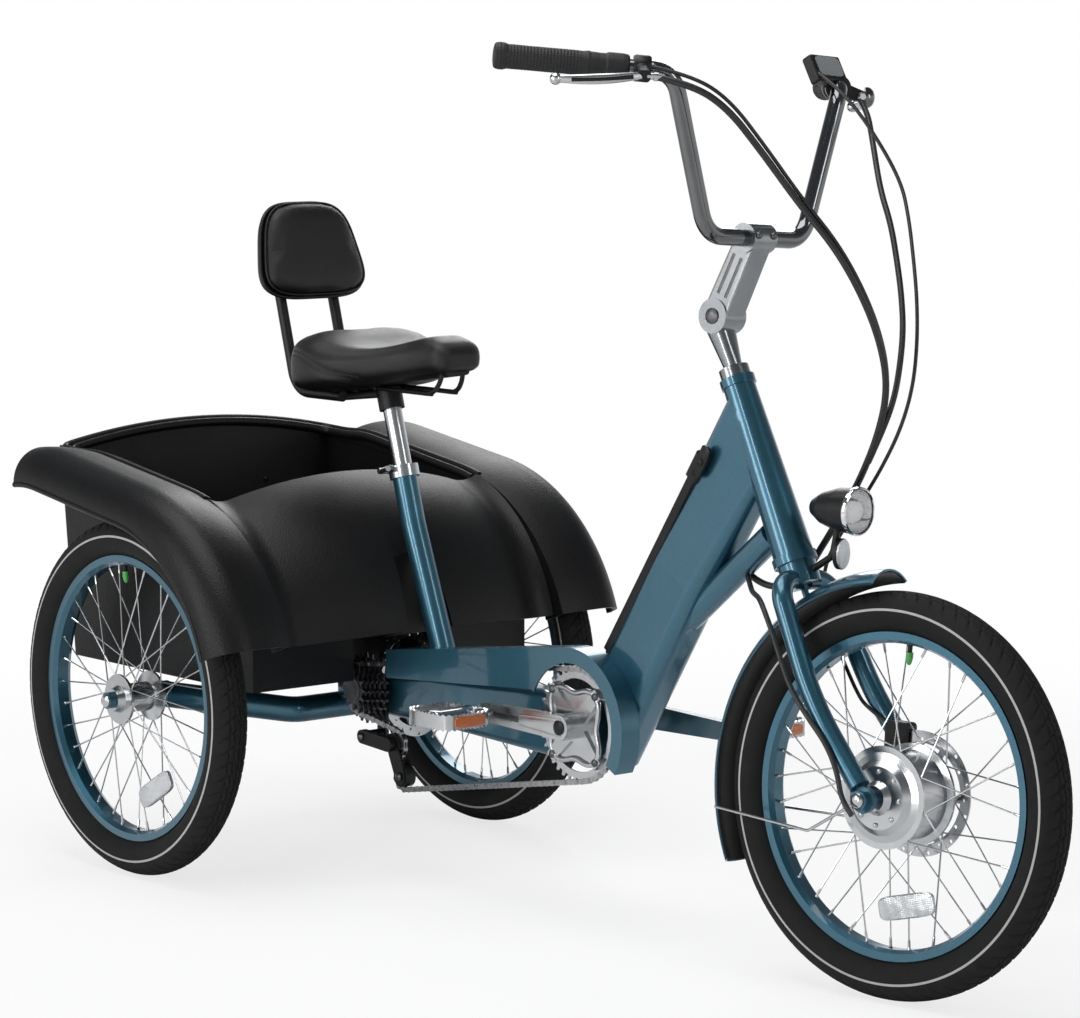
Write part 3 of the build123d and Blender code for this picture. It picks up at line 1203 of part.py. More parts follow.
def chainguard():
    """A plate over the upper run that wraps the chainring, with a rim along its top and nose."""
    top_rear = (REAR_AXLE_X + GUARD_REAR, GUARD_REAR_TOP)
    gap = Vector(BB.X - top_rear[0], BB.Z - top_rear[1])
    lift = math.atan2(gap.Y, gap.X) + math.asin(GUARD_RADIUS / gap.length)
    touch_angle = lift + math.pi / 2
    end_angle = math.radians(GUARD_END_ANGLE)

    def around(angle, radius):
        return (BB.X + radius * math.cos(angle), BB.Z + radius * math.sin(angle))

    middle = (touch_angle + end_angle) / 2
    outer = ThreePointArc(
        around(touch_angle, GUARD_RADIUS), around(middle, GUARD_RADIUS), around(end_angle, GUARD_RADIUS))
    arm = Polyline(
        outer @ 1, around(end_angle, GUARD_INNER_RADIUS), (BB.X, BB.Z),
        (BB.X + GUARD_KNEE[0], GUARD_KNEE[1]),
        (REAR_AXLE_X + GUARD_REAR, GUARD_REAR_BOTTOM), top_rear, outer @ 0)
    face = make_face(outer + arm) - Pos(BB.X, BB.Z) * Circle(GUARD_INNER_RADIUS)
    shape = side_plate(face, -GUARD_PLANE - GUARD_WALL, -GUARD_PLANE)
    rim_line = Wire([Line(top_rear, outer @ 0), outer])
    rim_face = trace(rim_line, line_width=GUARD_WALL)
    shape += side_plate(rim_face, -GUARD_PLANE - GUARD_WALL, -DOWN_TUBE_WIDTH / 2)
    shape -= down_tube_block()
    return shape - nodes["seat_tube"]


nodes["chainguard"] = chainguard()


def caliper_block(centre, size, disc_centre, disc_side):
    """A brake caliper straddling the disc with a slot for it."""
    block = Pos(centre) * Box(*size)
    block = fillet(block.edges().filter_by(Axis.Y), CALIPER_CORNER)
    slot = DISC_THICKNESS / 2 + CALIPER_GAP
    return block - crosswise(disc_centre, DISC_RADIUS + CALIPER_GAP, disc_side - slot, disc_side + slot)


rear_caliper_depth = 2 * (REAR_DISC_SIDE - BEAM_WIDTH / 2)
nodes["caliper_rear"] = caliper_block(
    JACKSHAFT + Vector(REAR_CALIPER_AHEAD, REAR_DISC_SIDE, REAR_CALIPER_RISE),
    (CALIPER_LENGTH, rear_caliper_depth, CALIPER_HEIGHT), JACKSHAFT, REAR_DISC_SIDE)


# Front fender: a shallow arched sheet turned about the front axle
def fender_front():
    half = FRONT_FENDER_WIDTH / 2
    edge = FRONT_FENDER_RADIUS - FRONT_FENDER_DROP
    arc = ThreePointArc((edge, -half), (FRONT_FENDER_RADIUS, 0), (edge, half))
    sheet = Rot(0, -FRONT_FENDER_END, 0) * trace(arc, line_width=FRONT_FENDER_WALL)
    swept = revolve(sheet, axis=Axis.Y, revolution_arc=FRONT_FENDER_END - FRONT_FENDER_START)
    return Pos(FRONT_AXLE) * swept


# Fork with steerer, curved legs, dropouts and axle, turned to the parked angle
def fork():
    plane = Plane(origin=on_steerer(CROWN_BOTTOM), z_dir=STEER_UP)
    shape = extrude(plane * Circle(CROWN_RADIUS), amount=HEAD_BOTTOM - FACE_GAP - CROWN_BOTTOM)
    shape += extrude(plane * Circle(STEERER_RADIUS), amount=HEAD_TOP - CROWN_BOTTOM)
    for sign in (-1, 1):
        shape += tube([
            on_steerer(SHOULDER_RISE, 0, sign * SHOULDER_ROOT),
            on_steerer(SHOULDER_RISE, SHOULDER_AHEAD, sign * LEG_SPACING_CROWN / 2),
            on_steerer(LEG_KNEE_RISE, LEG_KNEE_AHEAD, sign * LEG_KNEE_SPACING / 2),
            on_steerer(DROPOUT_RADIUS, FORK_OFFSET, sign * LEG_SPACING_AXLE / 2),
        ], [SHOULDER_BEND, LEG_BEND], LEG_DIAMETER)
        side = sign * LEG_SPACING_AXLE / 2
        inset = DROPOUT_THICKNESS / 2
        shape += crosswise(FRONT_AXLE, DROPOUT_RADIUS, side - inset, side + inset)
        nut = sign * (LEG_SPACING_AXLE / 2 + DROPOUT_THICKNESS / 2)
        nut_end = nut + sign * AXLE_NUT_LENGTH
        shape += crosswise(FRONT_AXLE, AXLE_NUT_RADIUS, min(nut, nut_end), max(nut, nut_end))
    half = LEG_SPACING_AXLE / 2
    shape += crosswise(FRONT_AXLE, MOTOR_AXLE_RADIUS, -half, half)
    bolt_foot = math.sqrt(FRONT_FENDER_RADIUS**2 - FORK_OFFSET**2)
    bolt = rod(on_steerer(CROWN_BOTTOM + FENDER_BOLT), on_steerer(bolt_foot), FENDER_BOLT)
    return shape + (bolt - fender_front())


nodes["fork"] = steered(fork())


# Adjustable stem, handlebar, grips, levers and display
BAR_CENTRE = fore(BAR_CORNER[0], 0, BAR_CORNER[2])
PIVOT = fore(STEM_PIVOT[0], 0, STEM_PIVOT[1])


def stem():
    base = HEAD_TOP + FACE_GAP
    plane = Plane(origin=on_steerer(base), z_dir=STEER_UP)
    shape = extrude(plane * Circle(HEADSET_RADIUS), amount=HEADSET_HEIGHT)
    pivot_height = (PIVOT - STEER_FOOT).dot(STEER_UP)
    quill_low = plane.offset(HEADSET_HEIGHT) * Circle(QUILL_RADIUS)
    quill_high = RectangleRounded(QUILL_TOP_DEPTH, PIVOT_WIDTH, QUILL_TOP_CORNER)
    shape += loft([quill_low, plane.offset(pivot_height - base) * quill_high])
    shape += crosswise(PIVOT, PIVOT_RADIUS, -PIVOT_WIDTH / 2, PIVOT_WIDTH / 2)
    outline = side_outline(
        (PIVOT.X, PIVOT.Z, STEM_ARM_FOOT_RADIUS), (BAR_CENTRE.X, BAR_CENTRE.Z, STEM_ARM_RADIUS))
    arm = side_plate(outline, -STEM_ARM_WIDTH / 2, STEM_ARM_WIDTH / 2)
    arm = fillet(arm.edges().filter_by(Axis.Y, reverse=True), STEM_ARM_CORNER)
    shape += arm
    shape += crosswise(BAR_CENTRE, BAR_CLAMP_RADIUS, -BAR_CLAMP_WIDTH / 2, BAR_CLAMP_WIDTH / 2)
    return shape - crosswise(BAR_CENTRE, BAR_DIAMETER / 2 + SEAT_GAP, -BAR_CLAMP_WIDTH, BAR_CLAMP_WIDTH)


def bar_point(spot, sign):
    return fore(spot[0], sign * spot[1], spot[2])


def handlebar(diameter):
    return tube([
        bar_point(BAR_END, -1), bar_point(BAR_TOP, -1), bar_point(BAR_CORNER, -1),
        bar_point(BAR_CORNER, 1), bar_point(BAR_TOP, 1), bar_point(BAR_END, 1),
    ], [BAR_TOP_BEND, BAR_BEND, BAR_BEND, BAR_TOP_BEND], diameter)


def bar_run(sign, distance):
    """A point on the grip run, measured back from the bar's end."""
    end = bar_point(BAR_END, sign)
    inward = (bar_point(BAR_TOP, sign) - end).normalized()
    return end + inward * distance


def grips():
    solids = []
    for sign in (-1, 1):
        run = GRIP_LENGTH + (THROTTLE_LENGTH if sign < 0 else 0)
        sleeve = rod(bar_run(sign, -GRIP_CAP), bar_run(sign, run), GRIP_DIAMETER)
        sleeve -= rod(bar_run(sign, 0), bar_run(sign, run + GRIP_CAP), BAR_DIAMETER + 2 * SEAT_GAP)
        solids.append(sleeve.solid())
    return Compound(solids)


def brake_levers():
    solids = []
    for sign in (-1, 1):
        start = GRIP_LENGTH + PERCH_GAP + (THROTTLE_LENGTH if sign < 0 else 0)
        run = bar_run(sign, start + PERCH_LENGTH) - bar_run(sign, start)
        along = run.normalized()
        ahead = Vector(0, 0, 1).cross(along) * sign
        reach = ahead.normalized() * LEVER_AHEAD - Vector(0, 0, LEVER_DROP)
        body = rod(bar_run(sign, start), bar_run(sign, start + PERCH_LENGTH), PERCH_DIAMETER)
        root = bar_run(sign, start + PERCH_LENGTH / 2)
        hinge = root + reach
        body += rod(root, hinge, PERCH_ARM)
        tip = hinge - along * LEVER_LENGTH - Vector(0, 0, LEVER_TIP_DROP)
        body += rod(hinge, tip, LEVER_DIAMETER)
        body += Pos(tip) * Sphere(LEVER_BALL)
        bore_start = bar_run(sign, start - PERCH_GAP)
        bore_end = bar_run(sign, start + PERCH_LENGTH + PERCH_GAP)
        body -= rod(bore_start, bore_end, BAR_DIAMETER + 2 * SEAT_GAP)
        solids.append(body.solid())
    return Compound(solids)


def display():
    spot = bar_point(DISPLAY_SPOT, 1)
    body = Pos(spot) * Rot(0, -DISPLAY_TILT, 0) * Box(*DISPLAY_SIZE)
    body = fillet(body.edges(), DISPLAY_CORNER)
    foot = bar_run(1, DISPLAY_FOOT)
    inward = (bar_run(1, DISPLAY_FOOT + 1) - foot).normalized()
    body += rod(foot - inward * DISPLAY_CLAMP_HALF, foot + inward * DISPLAY_CLAMP_HALF, PERCH_DIAMETER)
    body += rod(foot, spot, DISPLAY_POST)
    return body - handlebar(BAR_DIAMETER + 2 * SEAT_GAP)


nodes["stem"] = steered(stem())
nodes["handlebar"] = steered(handlebar(BAR_DIAMETER))
nodes["grips"] = steered(grips())
nodes["brake_levers"] = steered(brake_levers())
nodes["display"] = steered(display())


# Headlamp with its lens, on a bracket from the fork crown
LAMP_SPOT = on_steerer(CROWN_BOTTOM) + Vector(LAMP_AHEAD, 0, LAMP_RISE)


def lamp_profile(points):
    profile = make_face(Polyline(*points, close=True))
    turned = revolve(profile, axis=Axis.X)
    return Pos(LAMP_SPOT) * turned


def headlamp():
    bowl = LAMP_RADIUS - LAMP_WALL
    shell = [(LAMP_LENGTH * along, LAMP_RADIUS * out) for along, out in LAMP_SHELL]
    return lamp_profile(shell + [(LAMP_LENGTH * along, bowl * out) for along, out in LAMP_BOWL])


def lamp_lens():
    face = LAMP_LENGTH + FACE_GAP
    shoulder = LAMP_RADIUS * LENS_SHOULDER_SHARE
    return lamp_profile([
        (face, 0), (face, LAMP_RADIUS), (face + LENS_EDGE, LAMP_RADIUS), (face + LENS_SHOULDER, shoulder),
        (face + LENS_CROWN, 0)])


def lamp_bracket():
    crown = on_steerer(CROWN_BOTTOM + BRACKET_CROWN_RISE, CROWN_RADIUS - BRACKET_SUNK)
    foot = LAMP_SPOT + Vector(LAMP_LENGTH * BRACKET_HEAD_SHARE, 0, -LAMP_RADIUS / 2)
    elbow = LAMP_SPOT + Vector(LAMP_LENGTH / 2, 0, -LAMP_RADIUS - BRACKET_DROP)
    shape = tube([crown, elbow, foot], BRACKET_BEND, BRACKET_DIAMETER)
    disc = LAMP_SPOT + Vector(LAMP_LENGTH * REFLECTOR_SHARE, 0, -LAMP_RADIUS - REFLECTOR_DROP)
    plane = Plane(origin=disc, x_dir=Vector(0, 1, 0), z_dir=Vector(1, 0, 0))
    oval = plane * Ellipse(REFLECTOR_WIDTH / 2, REFLECTOR_HEIGHT / 2)
    shape += extrude(oval, amount=-REFLECTOR_THICKNESS)
    lift = Vector(0, 0, REFLECTOR_ARM)
    shape += rod(elbow + lift, disc + lift - Vector(REFLECTOR_THICKNESS / 2, 0, 0), REFLECTOR_ARM)
    return shape - headlamp() - fork()


nodes["headlamp"] = steered(headlamp())
nodes["lamp_lens"] = steered(lamp_lens())
nodes["lamp_bracket"] = steered(lamp_bracket())


# Wire stays of the front fender
def fender_stays():
    solids = []
    angle = math.radians(STAY_ANGLE)
    reach = FRONT_FENDER_RADIUS - FRONT_FENDER_DROP
    for sign in (-1, 1):
        eye = FRONT_AXLE + Vector(0, sign * STAY_SIDE, 0)
        seat_side = FRONT_FENDER_WIDTH / 2 + STAY_DIAMETER / 2 + FACE_GAP
        end = FRONT_AXLE + Vector(reach * math.cos(angle), sign * seat_side, reach * math.sin(angle))
        elbow = FRONT_AXLE + Vector(STAY_ELBOW[0], sign * STAY_SIDE, STAY_ELBOW[1])
        bar = tube([eye, elbow, end], STAY_BEND, STAY_DIAMETER)
        bar -= crosswise(FRONT_AXLE, AXLE_NUT_RADIUS + FACE_GAP, -2 * STAY_SIDE, 2 * STAY_SIDE)
        solids.append(bar.solid())
    return Compound(solids)


nodes["fender_front"] = steered(fender_front())
nodes["fender_stays"] = steered(fender_stays())


def front_caliper():
    angle = math.radians(FRONT_CALIPER_ANGLE)
    outward = Vector(math.cos(angle), 0, math.sin(angle))
    centre = FRONT_AXLE + outward * FRONT_CALIPER_REACH + Vector(0, FRONT_CALIPER_SIDE, 0)
    size = (CALIPER_LENGTH, FRONT_CALIPER_DEPTH, CALIPER_HEIGHT)
    return caliper_block(centre, size, FRONT_AXLE, disc_side) - fork()


nodes["caliper_front"] = steered(front_caliper())


# Cables: control harnesses held on the bars, and the leads from the frame to the fork
def cable(spots, diameter):
    """A cable whose bends are as wide as their shorter neighbouring runs allow."""
    bends = []
    for before, corner, after in zip(spots, spots[1:], spots[2:]):
        shorter = min((corner - before).length, (after - corner).length)
        turn = math.radians((corner - before).get_angle(after - corner))
        bends.append(CABLE_BEND_SHARE * shorter / math.tan(turn / 2))
    return tube(spots, bends, diameter)


def control_cables():
    """Harnesses and hoses that end flush against the levers, the display and the front caliper."""
    solids = []
    for points, diameter in CONTROL_ROUTES:
        run = cable([fore(*point) for point in points], diameter)
        run = run - brake_levers() - display() - front_caliper()
        solids.append(run.solids().sort_by(SortBy.VOLUME)[-1])
    return Compound(solids)


nodes["control_cables"] = steered(control_cables())


def fork_leads():
    """Leads from the brace under the head tube, turning more and more with the fork along their run."""
    solids = []
    for points, diameter in LEAD_ROUTES:
        spots = []
        for index, point in enumerate(points):
            turn = PARKED_STEER * index / (len(points) - 1)
            spots.append(Vertex(fore(*point)).rotate(STEER_AXIS, turn).center())
        run = cable(spots, diameter) - nodes["front_frame"] - nodes["control_cables"]
        solids.append(run.solids().sort_by(SortBy.VOLUME)[-1])
    return Compound(solids)


nodes["fork_leads"] = fork_leads()

os.makedirs("parts", exist_ok=True)
for name, shape in nodes.items():
    export_step(shape, f"parts/{name}.step")
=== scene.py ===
import bmesh
import bpy
import json
import math
import numpy as np
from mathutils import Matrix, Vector


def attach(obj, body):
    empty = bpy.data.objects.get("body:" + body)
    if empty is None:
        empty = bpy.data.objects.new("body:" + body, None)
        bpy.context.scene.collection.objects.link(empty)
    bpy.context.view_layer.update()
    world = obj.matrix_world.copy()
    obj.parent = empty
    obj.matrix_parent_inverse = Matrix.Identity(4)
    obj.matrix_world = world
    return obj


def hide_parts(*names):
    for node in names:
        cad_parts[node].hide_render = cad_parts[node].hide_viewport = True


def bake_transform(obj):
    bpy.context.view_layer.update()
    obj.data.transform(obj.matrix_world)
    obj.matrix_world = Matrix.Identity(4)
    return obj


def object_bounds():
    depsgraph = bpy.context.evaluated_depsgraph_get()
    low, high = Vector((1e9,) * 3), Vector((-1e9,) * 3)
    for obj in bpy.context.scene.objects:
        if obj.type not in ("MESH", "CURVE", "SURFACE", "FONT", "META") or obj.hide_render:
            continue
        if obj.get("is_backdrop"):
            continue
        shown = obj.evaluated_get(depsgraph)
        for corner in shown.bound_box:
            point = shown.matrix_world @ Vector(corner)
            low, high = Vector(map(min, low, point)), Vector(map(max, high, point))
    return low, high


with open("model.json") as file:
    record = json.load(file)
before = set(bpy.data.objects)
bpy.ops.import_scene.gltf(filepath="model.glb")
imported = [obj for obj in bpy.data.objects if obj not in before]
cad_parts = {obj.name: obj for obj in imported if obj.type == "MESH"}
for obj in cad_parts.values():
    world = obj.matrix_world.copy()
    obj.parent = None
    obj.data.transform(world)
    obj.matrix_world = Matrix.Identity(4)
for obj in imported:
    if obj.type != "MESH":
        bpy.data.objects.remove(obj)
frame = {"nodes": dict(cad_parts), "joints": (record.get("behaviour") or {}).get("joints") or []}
cad_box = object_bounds()


# Studio: a white floor that runs out of sight under a soft overhead box, with three upright boxes
# round the machine. A long lens stands a little above seat height, as in the photograph.
class Tone:
    """A socket of a node tree; sums, products and comparisons of tones add Math nodes to it."""

    def __init__(self, tree, socket=None):
        self.tree = tree
        self.socket = socket

    def node(self, kind, settings=None, sockets=None, out=0):
        """Any node: its type, then its settings, then the values or links of its sockets."""
        made = self.tree.nodes.new(kind)
        for name, value in (settings or {}).items():
            setattr(made, name, value)
        for name, value in (sockets or {}).items():
            if isinstance(value, Tone):
                self.tree.links.new(value.socket, made.inputs[name])
            else:
                made.inputs[name].default_value = value
        return Tone(self.tree, made.outputs[out])

    def into(self, shader, name):
        self.tree.links.new(self.socket, shader.inputs[name])

    def math(self, operation, first, second=0.0, third=0.0):
        return self.node("ShaderNodeMath", {"operation": operation}, {0: first, 1: second, 2: third})

    def mix(self, first, second):
        """A colour between two others, with this tone as the share of the second."""
        return self.node("ShaderNodeMix", {"data_type": "RGBA"}, {0: self, 6: first, 7: second}, out=2)

    def ramp(self, low, high):
        """0 below low, 1 above high, smooth between."""
        return self.node("ShaderNodeMapRange", {"interpolation_type": "SMOOTHSTEP"},
                         {"Value": self, "From Min": low, "From Max": high})

    def bump(self, distance, strength=1.0):
        return self.node("ShaderNodeBump", {}, {"Height": self, "Distance": distance, "Strength": strength},
                         out="Normal")

    def __add__(self, other):
        return self.math("ADD", self, other)

    def __mul__(self, other):
        return self.math("MULTIPLY", self, other)

    def __sub__(self, other):
        return self.math("SUBTRACT", self, other)

    def __rsub__(self, other):
        return self.math("SUBTRACT", other, self)

    def __lt__(self, other):
        return self.math("LESS_THAN", self, other)

    def __gt__(self, other):
        return self.math("GREATER_THAN", self, other)

    __radd__ = __add__
    __rmul__ = __mul__


def finish(name, **constants):
    """A material of one Principled shader with its constants set, and its Object coordinates."""
    material = bpy.data.materials.new(name)
    material.use_nodes = True
    shader = material.node_tree.nodes["Principled BSDF"]
    for socket, value in constants.items():
        shader.inputs[socket.replace("_", " ")].default_value = value
    place = Tone(material.node_tree).node("ShaderNodeTexCoord", out="Object")
    return material, shader, place


def grain(place, scale, detail=2.0, rough=0.5):
    """Noise of so many features a metre."""
    return place.node("ShaderNodeTexNoise", {}, {"Vector": place, "Scale": scale, "Detail": detail,
                                                 "Roughness": rough})


FLOOR_REACH = 30.0
floor_mesh = bpy.data.meshes.new("floor")
floor_mesh.from_pydata([(-FLOOR_REACH, -FLOOR_REACH, 0), (FLOOR_REACH, -FLOOR_REACH, 0),
                        (FLOOR_REACH, FLOOR_REACH, 0), (-FLOOR_REACH, FLOOR_REACH, 0)], [], [(0, 1, 2, 3)])
floor = bpy.data.objects.new("floor", floor_mesh)
bpy.context.scene.collection.objects.link(floor)
floor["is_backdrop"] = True
floor_finish, floor_shader, floor_place = finish("floor_white", Roughness=0.9, Specular_IOR_Level=0.1)
floor_tint = grain(floor_place, 3.0).mix((0.9, 0.9, 0.9, 1), (0.92, 0.92, 0.92, 1))
floor_tint.into(floor_shader, "Base Color")
floor_mesh.materials.append(floor_finish)
far_off = floor_place.node("ShaderNodeVectorMath", {"operation": "LENGTH"}, {0: floor_place}, out="Value")
seen = floor_place.node("ShaderNodeLightPath", out="Is Camera Ray")
bounced = floor_place.node("ShaderNodeLightPath", out="Is Glossy Ray")
through = floor_place.node("ShaderNodeLightPath", out="Is Transmission Ray")
white = floor_place.node("ShaderNodeEmission", {}, {"Color": (1, 1, 1, 1), "Strength": 1.0})
plain = Tone(floor_finish.node_tree, floor_shader.outputs[0])
whitened = (seen + through) * (far_off.ramp(0.9, 2.6) * 0.25 + 0.75) + bounced * far_off.ramp(2.0, 5.0) * 0.8
shown = floor_place.node("ShaderNodeMixShader", {}, {0: whitened, 1: plain, 2: white})
shown.into(floor_finish.node_tree.nodes["Material Output"], "Surface")

world = bpy.data.worlds.new("studio")
bpy.context.scene.world = world
world.use_nodes = True
sky = Tone(world.node_tree)
upward = sky.node("ShaderNodeSeparateXYZ", {}, {0: sky.node("ShaderNodeTexCoord", out="Generated")}, out="Z")
low_down = 1 - upward.ramp(0.05, 0.4)
straight = (sky.node("ShaderNodeLightPath", out="Is Camera Ray")
            + sky.node("ShaderNodeLightPath", out="Is Transmission Ray"))
mirrored = sky.node("ShaderNodeLightPath", out="Is Glossy Ray") * low_down * 0.8
room = upward.ramp(-0.1, 0.75).mix((0.34, 0.35, 0.36, 1), (0.12, 0.13, 0.14, 1))
background = world.node_tree.nodes["Background"]
(straight + mirrored).ramp(0.0, 1.0).mix(room, (1, 1, 1, 1)).into(background, "Color")
background.inputs["Strength"].default_value = 1.0

for name, spot, aim, size, power in (
        ("overhead_box", (-0.3, -0.5, 3.4), (-0.1, 0.0, 0.4), (3.2, 2.0), 70.0),
        ("back_box", (-2.6, 2.4, 2.6), (-0.2, 0.0, 0.5), (1.4, 2.2), 40.0),
        ("right_box", (-1.0, -3.6, 1.9), (-0.2, 0.0, 0.6), (1.0, 2.4), 46.0),
        ("right_strip", (1.0, -4.2, 1.3), (0.1, 0.0, 0.6), (0.5, 2.6), 36.0),
        ("front_box", (4.2, 0.8, 2.2), (0.3, 0.0, 0.6), (0.9, 2.2), 28.0)):
    lamp = bpy.data.lights.new(name, "AREA")
    lamp.shape = "RECTANGLE"
    lamp.size, lamp.size_y = size
    lamp.energy = power
    holder = bpy.data.objects.new(name, lamp)
    holder.location = spot
    holder.rotation_euler = (Vector(aim) - Vector(spot)).to_track_quat("-Z", "Y").to_euler()
    bpy.context.scene.collection.objects.link(holder)

LENS_SPOT = Vector((4.1115, -3.4315, 1.1993))
LENS_AIM = Vector((-0.0509, 0.0, 0.5624))
camera_data = bpy.data.cameras.new("camera")
camera_data.sensor_width = 36.0
camera_data.lens = 131.23
camera_data.shift_x = -0.0038
camera_data.shift_y = -0.0035
camera_data.clip_end = 200.0
camera = bpy.data.objects.new("camera", camera_data)
camera.location = LENS_SPOT
camera.rotation_euler = (LENS_AIM - LENS_SPOT).to_track_quat("-Z", "Y").to_euler()
bpy.context.scene.collection.objects.link(camera)
bpy.context.scene.camera = camera
bpy.context.scene.view_settings.view_transform = "Standard"

# Frame: welded aluminium tubes in one metallic blue-green paint with fine flake under a clear coat.
# Rims, fork, chainguard and front fender carry the same paint.
JOINTS = {joint["name"]: (np.array(joint["pos_m"]), np.array(joint["axis"])) for joint in frame["joints"]}
REAR_AXLE = JOINTS["rear_wheel_right"][0][0]
BRACKET = JOINTS["crank"][0]
STEER_FOOT, STEER_UP = JOINTS["steering"]
PARKED = math.radians(9.0)


def at(points):
    """Millimetres forward of the rear axle, to the left and up, as metres of the shared frame."""
    return np.asarray(points, float) / 1000 + (REAR_AXLE, 0, 0)


def fore(points):
    """Millimetres forward of the bottom bracket, to the left and up, as metres of the shared frame."""
    return np.asarray(points, float) / 1000 + (BRACKET[0], 0, 0)


def turn_steered(vectors, angle=PARKED):
    """Directions turned about the head tube: v cos a + (k x v) sin a + k (k.v)(1 - cos a)."""
    vectors = np.asarray(vectors, float)
    angle = np.asarray(angle, float)[..., None]
    along = (vectors @ STEER_UP)[..., None] * STEER_UP
    return vectors * np.cos(angle) + np.cross(STEER_UP, vectors) * np.sin(angle) + along * (1 - np.cos(angle))


def parked(points, angle=PARKED):
    """Points of the straight-ahead fork turned about the head tube to the parked angle."""
    return STEER_FOOT + turn_steered(np.asarray(points, float) - STEER_FOOT, angle)


def dress(material, *names):
    """Give a finish to CAD nodes by name."""
    for name in names:
        for slot in frame["nodes"][name].material_slots:
            slot.material = material


paint, paint_shader, paint_place = finish(
    "blue_green_paint", Metallic=0.75, Roughness=0.3, Coat_Weight=0.85, Coat_Roughness=0.05)
flake = paint_place.node("ShaderNodeTexVoronoi", {}, {"Vector": paint_place, "Scale": 1400.0}, out="Color")
flake_light = paint_place.node("ShaderNodeSeparateColor", {}, {0: flake}, out=0)
mottle = grain(paint_place, 9.0) * 0.35 + flake_light * 0.45
mottle.mix((0.021, 0.092, 0.142, 1), (0.044, 0.165, 0.235, 1)).into(paint_shader, "Base Color")
(grain(paint_place, 240.0) * 0.12 + 0.26).into(paint_shader, "Roughness")
flake_light.bump(0.00005, 0.3).into(paint_shader, "Normal")
dress(paint, "front_frame", "rear_frame", "seat_tube", "fork", "axle_carrier", "chainguard",
      "rim_front", "rim_rear_right", "rim_rear_left", "fender_front")

# Battery: a black case let into the back of the down tube, held by a round-ended lock tab on its right
# side. A rubber grommet lets the leads out of the brace.
fitting, fitting_shader, fitting_place = finish("satin_black", Specular_IOR_Level=0.28)
grain(fitting_place, 40.0).mix((0.005, 0.005, 0.0055, 1), (0.010, 0.010, 0.0105, 1)).into(fitting_shader,
                                                                                          "Base Color")
(grain(fitting_place, 300.0) * 0.15 + 0.3).into(fitting_shader, "Roughness")
grain(fitting_place, 900.0).bump(0.0002, 0.4).into(fitting_shader, "Normal")
dress(fitting, "battery", "headlamp", "lamp_bracket", "display", "derailleur", "caliper_front",
      "caliper_rear", "saddle_carrier", "backrest_frame")


def skin(name, grid, material, body, wrap_along=False, wrap_round=True, sharp=40.0):
    """A mesh over one or many grids of points: rows run along a piece and columns round it, four
    neighbours make a face, a wrapped edge joins last to first, and rows of one point close as poles."""
    rows, columns = grid.shape[-3:-1]
    points = grid.reshape(-1, 3)
    index = np.arange(len(points)).reshape(-1, rows, columns)
    if wrap_along:
        index = np.concatenate([index, index[:, :1]], 1)
    if wrap_round:
        index = np.concatenate([index, index[:, :, :1]], 2)
    faces = np.stack([index[:, :-1, :-1], index[:, :-1, 1:], index[:, 1:, 1:], index[:, 1:, :-1]], -1)
    mesh = bpy.data.meshes.new(name)
    mesh.from_pydata(points.tolist(), [], faces.reshape(-1, 4).tolist())
    along = np.linspace(0, 1, index.shape[1])
    across = np.linspace(0, 1, index.shape[2])
    spots = np.stack(np.meshgrid(along, across, indexing="ij"), -1)
    corner = np.stack([spots[:-1, :-1], spots[:-1, 1:], spots[1:, 1:], spots[1:, :-1]], 2).reshape(-1, 2)
    mesh.uv_layers.new(name="run").data.foreach_set("uv", np.tile(corner, (len(index), 1)).ravel())
    worked = bmesh.new()
    worked.from_mesh(mesh)
    bmesh.ops.remove_doubles(worked, verts=worked.verts, dist=1e-7)
    bmesh.ops.recalc_face_normals(worked, faces=worked.faces)
    worked.to_mesh(mesh)
    worked.free()
    mesh.shade_smooth()
    mesh.set_sharp_from_angle(angle=math.radians(sharp))
    mesh.materials.append(material)
    piece = bpy.data.objects.new(name, mesh)
    bpy.context.scene.collection.objects.link(piece)
    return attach(piece, body)


def rounded(count, corner):
    """The outline |u|^n + |v|^n = 1 as points (u, v) at even turns; n = 2 is a circle, more is squarer."""
    turn = np.linspace(0, 2 * math.pi, count, endpoint=False)
    outline = np.stack([np.cos(turn), np.sin(turn)], 1)
    return outline * (np.abs(outline)**corner).sum(1, keepdims=True)**(-1 / corner)


def plate(centre, wide, tall, half, thick, corner=4.0, count=48, ease=0.12):
    """A flat piece: a rounded outline in the wide and tall directions, its edge eased over the thickness."""
    wide, tall = np.asarray(wide, float), np.asarray(tall, float)
    outline = rounded(count, corner)
    flat = outline[:, :1] * half[0] * wide + outline[:, 1:] * half[1] * tall
    scale = np.array([0, 1 - ease, 1, 1, 1 - ease, 0])[:, None, None]
    depth = np.array([-1, -1, -0.6, 0.6, 1, 1])[:, None, None] * thick / 2
    return np.asarray(centre) + scale * flat + depth * np.cross(wide, tall)


def studs(feet, tips, profile, sides=16):
    """Turned pieces: a profile of (share of the length, radius) carried round the line from each foot to
    its tip."""
    feet, tips = np.atleast_2d(feet), np.atleast_2d(tips)
    line = tips - feet
    along = line / np.linalg.norm(line, axis=1, keepdims=True)
    helper = np.where(np.abs(along[:, 2:]) < 0.9, (0, 0, 1.0), (1.0, 0, 0))
    first = np.cross(along, helper)
    first /= np.linalg.norm(first, axis=1, keepdims=True)
    second = np.cross(along, first)
    circle = rounded(sides, 2.0)
    ring = circle[:, 0, None] * first[:, None] + circle[:, 1, None] * second[:, None]
    share, radius = np.array(profile, float).T
    middle = feet[:, None] + share[None, :, None] * line[:, None]
    return middle[:, :, None] + radius[None, :, None, None] * ring[:, None]


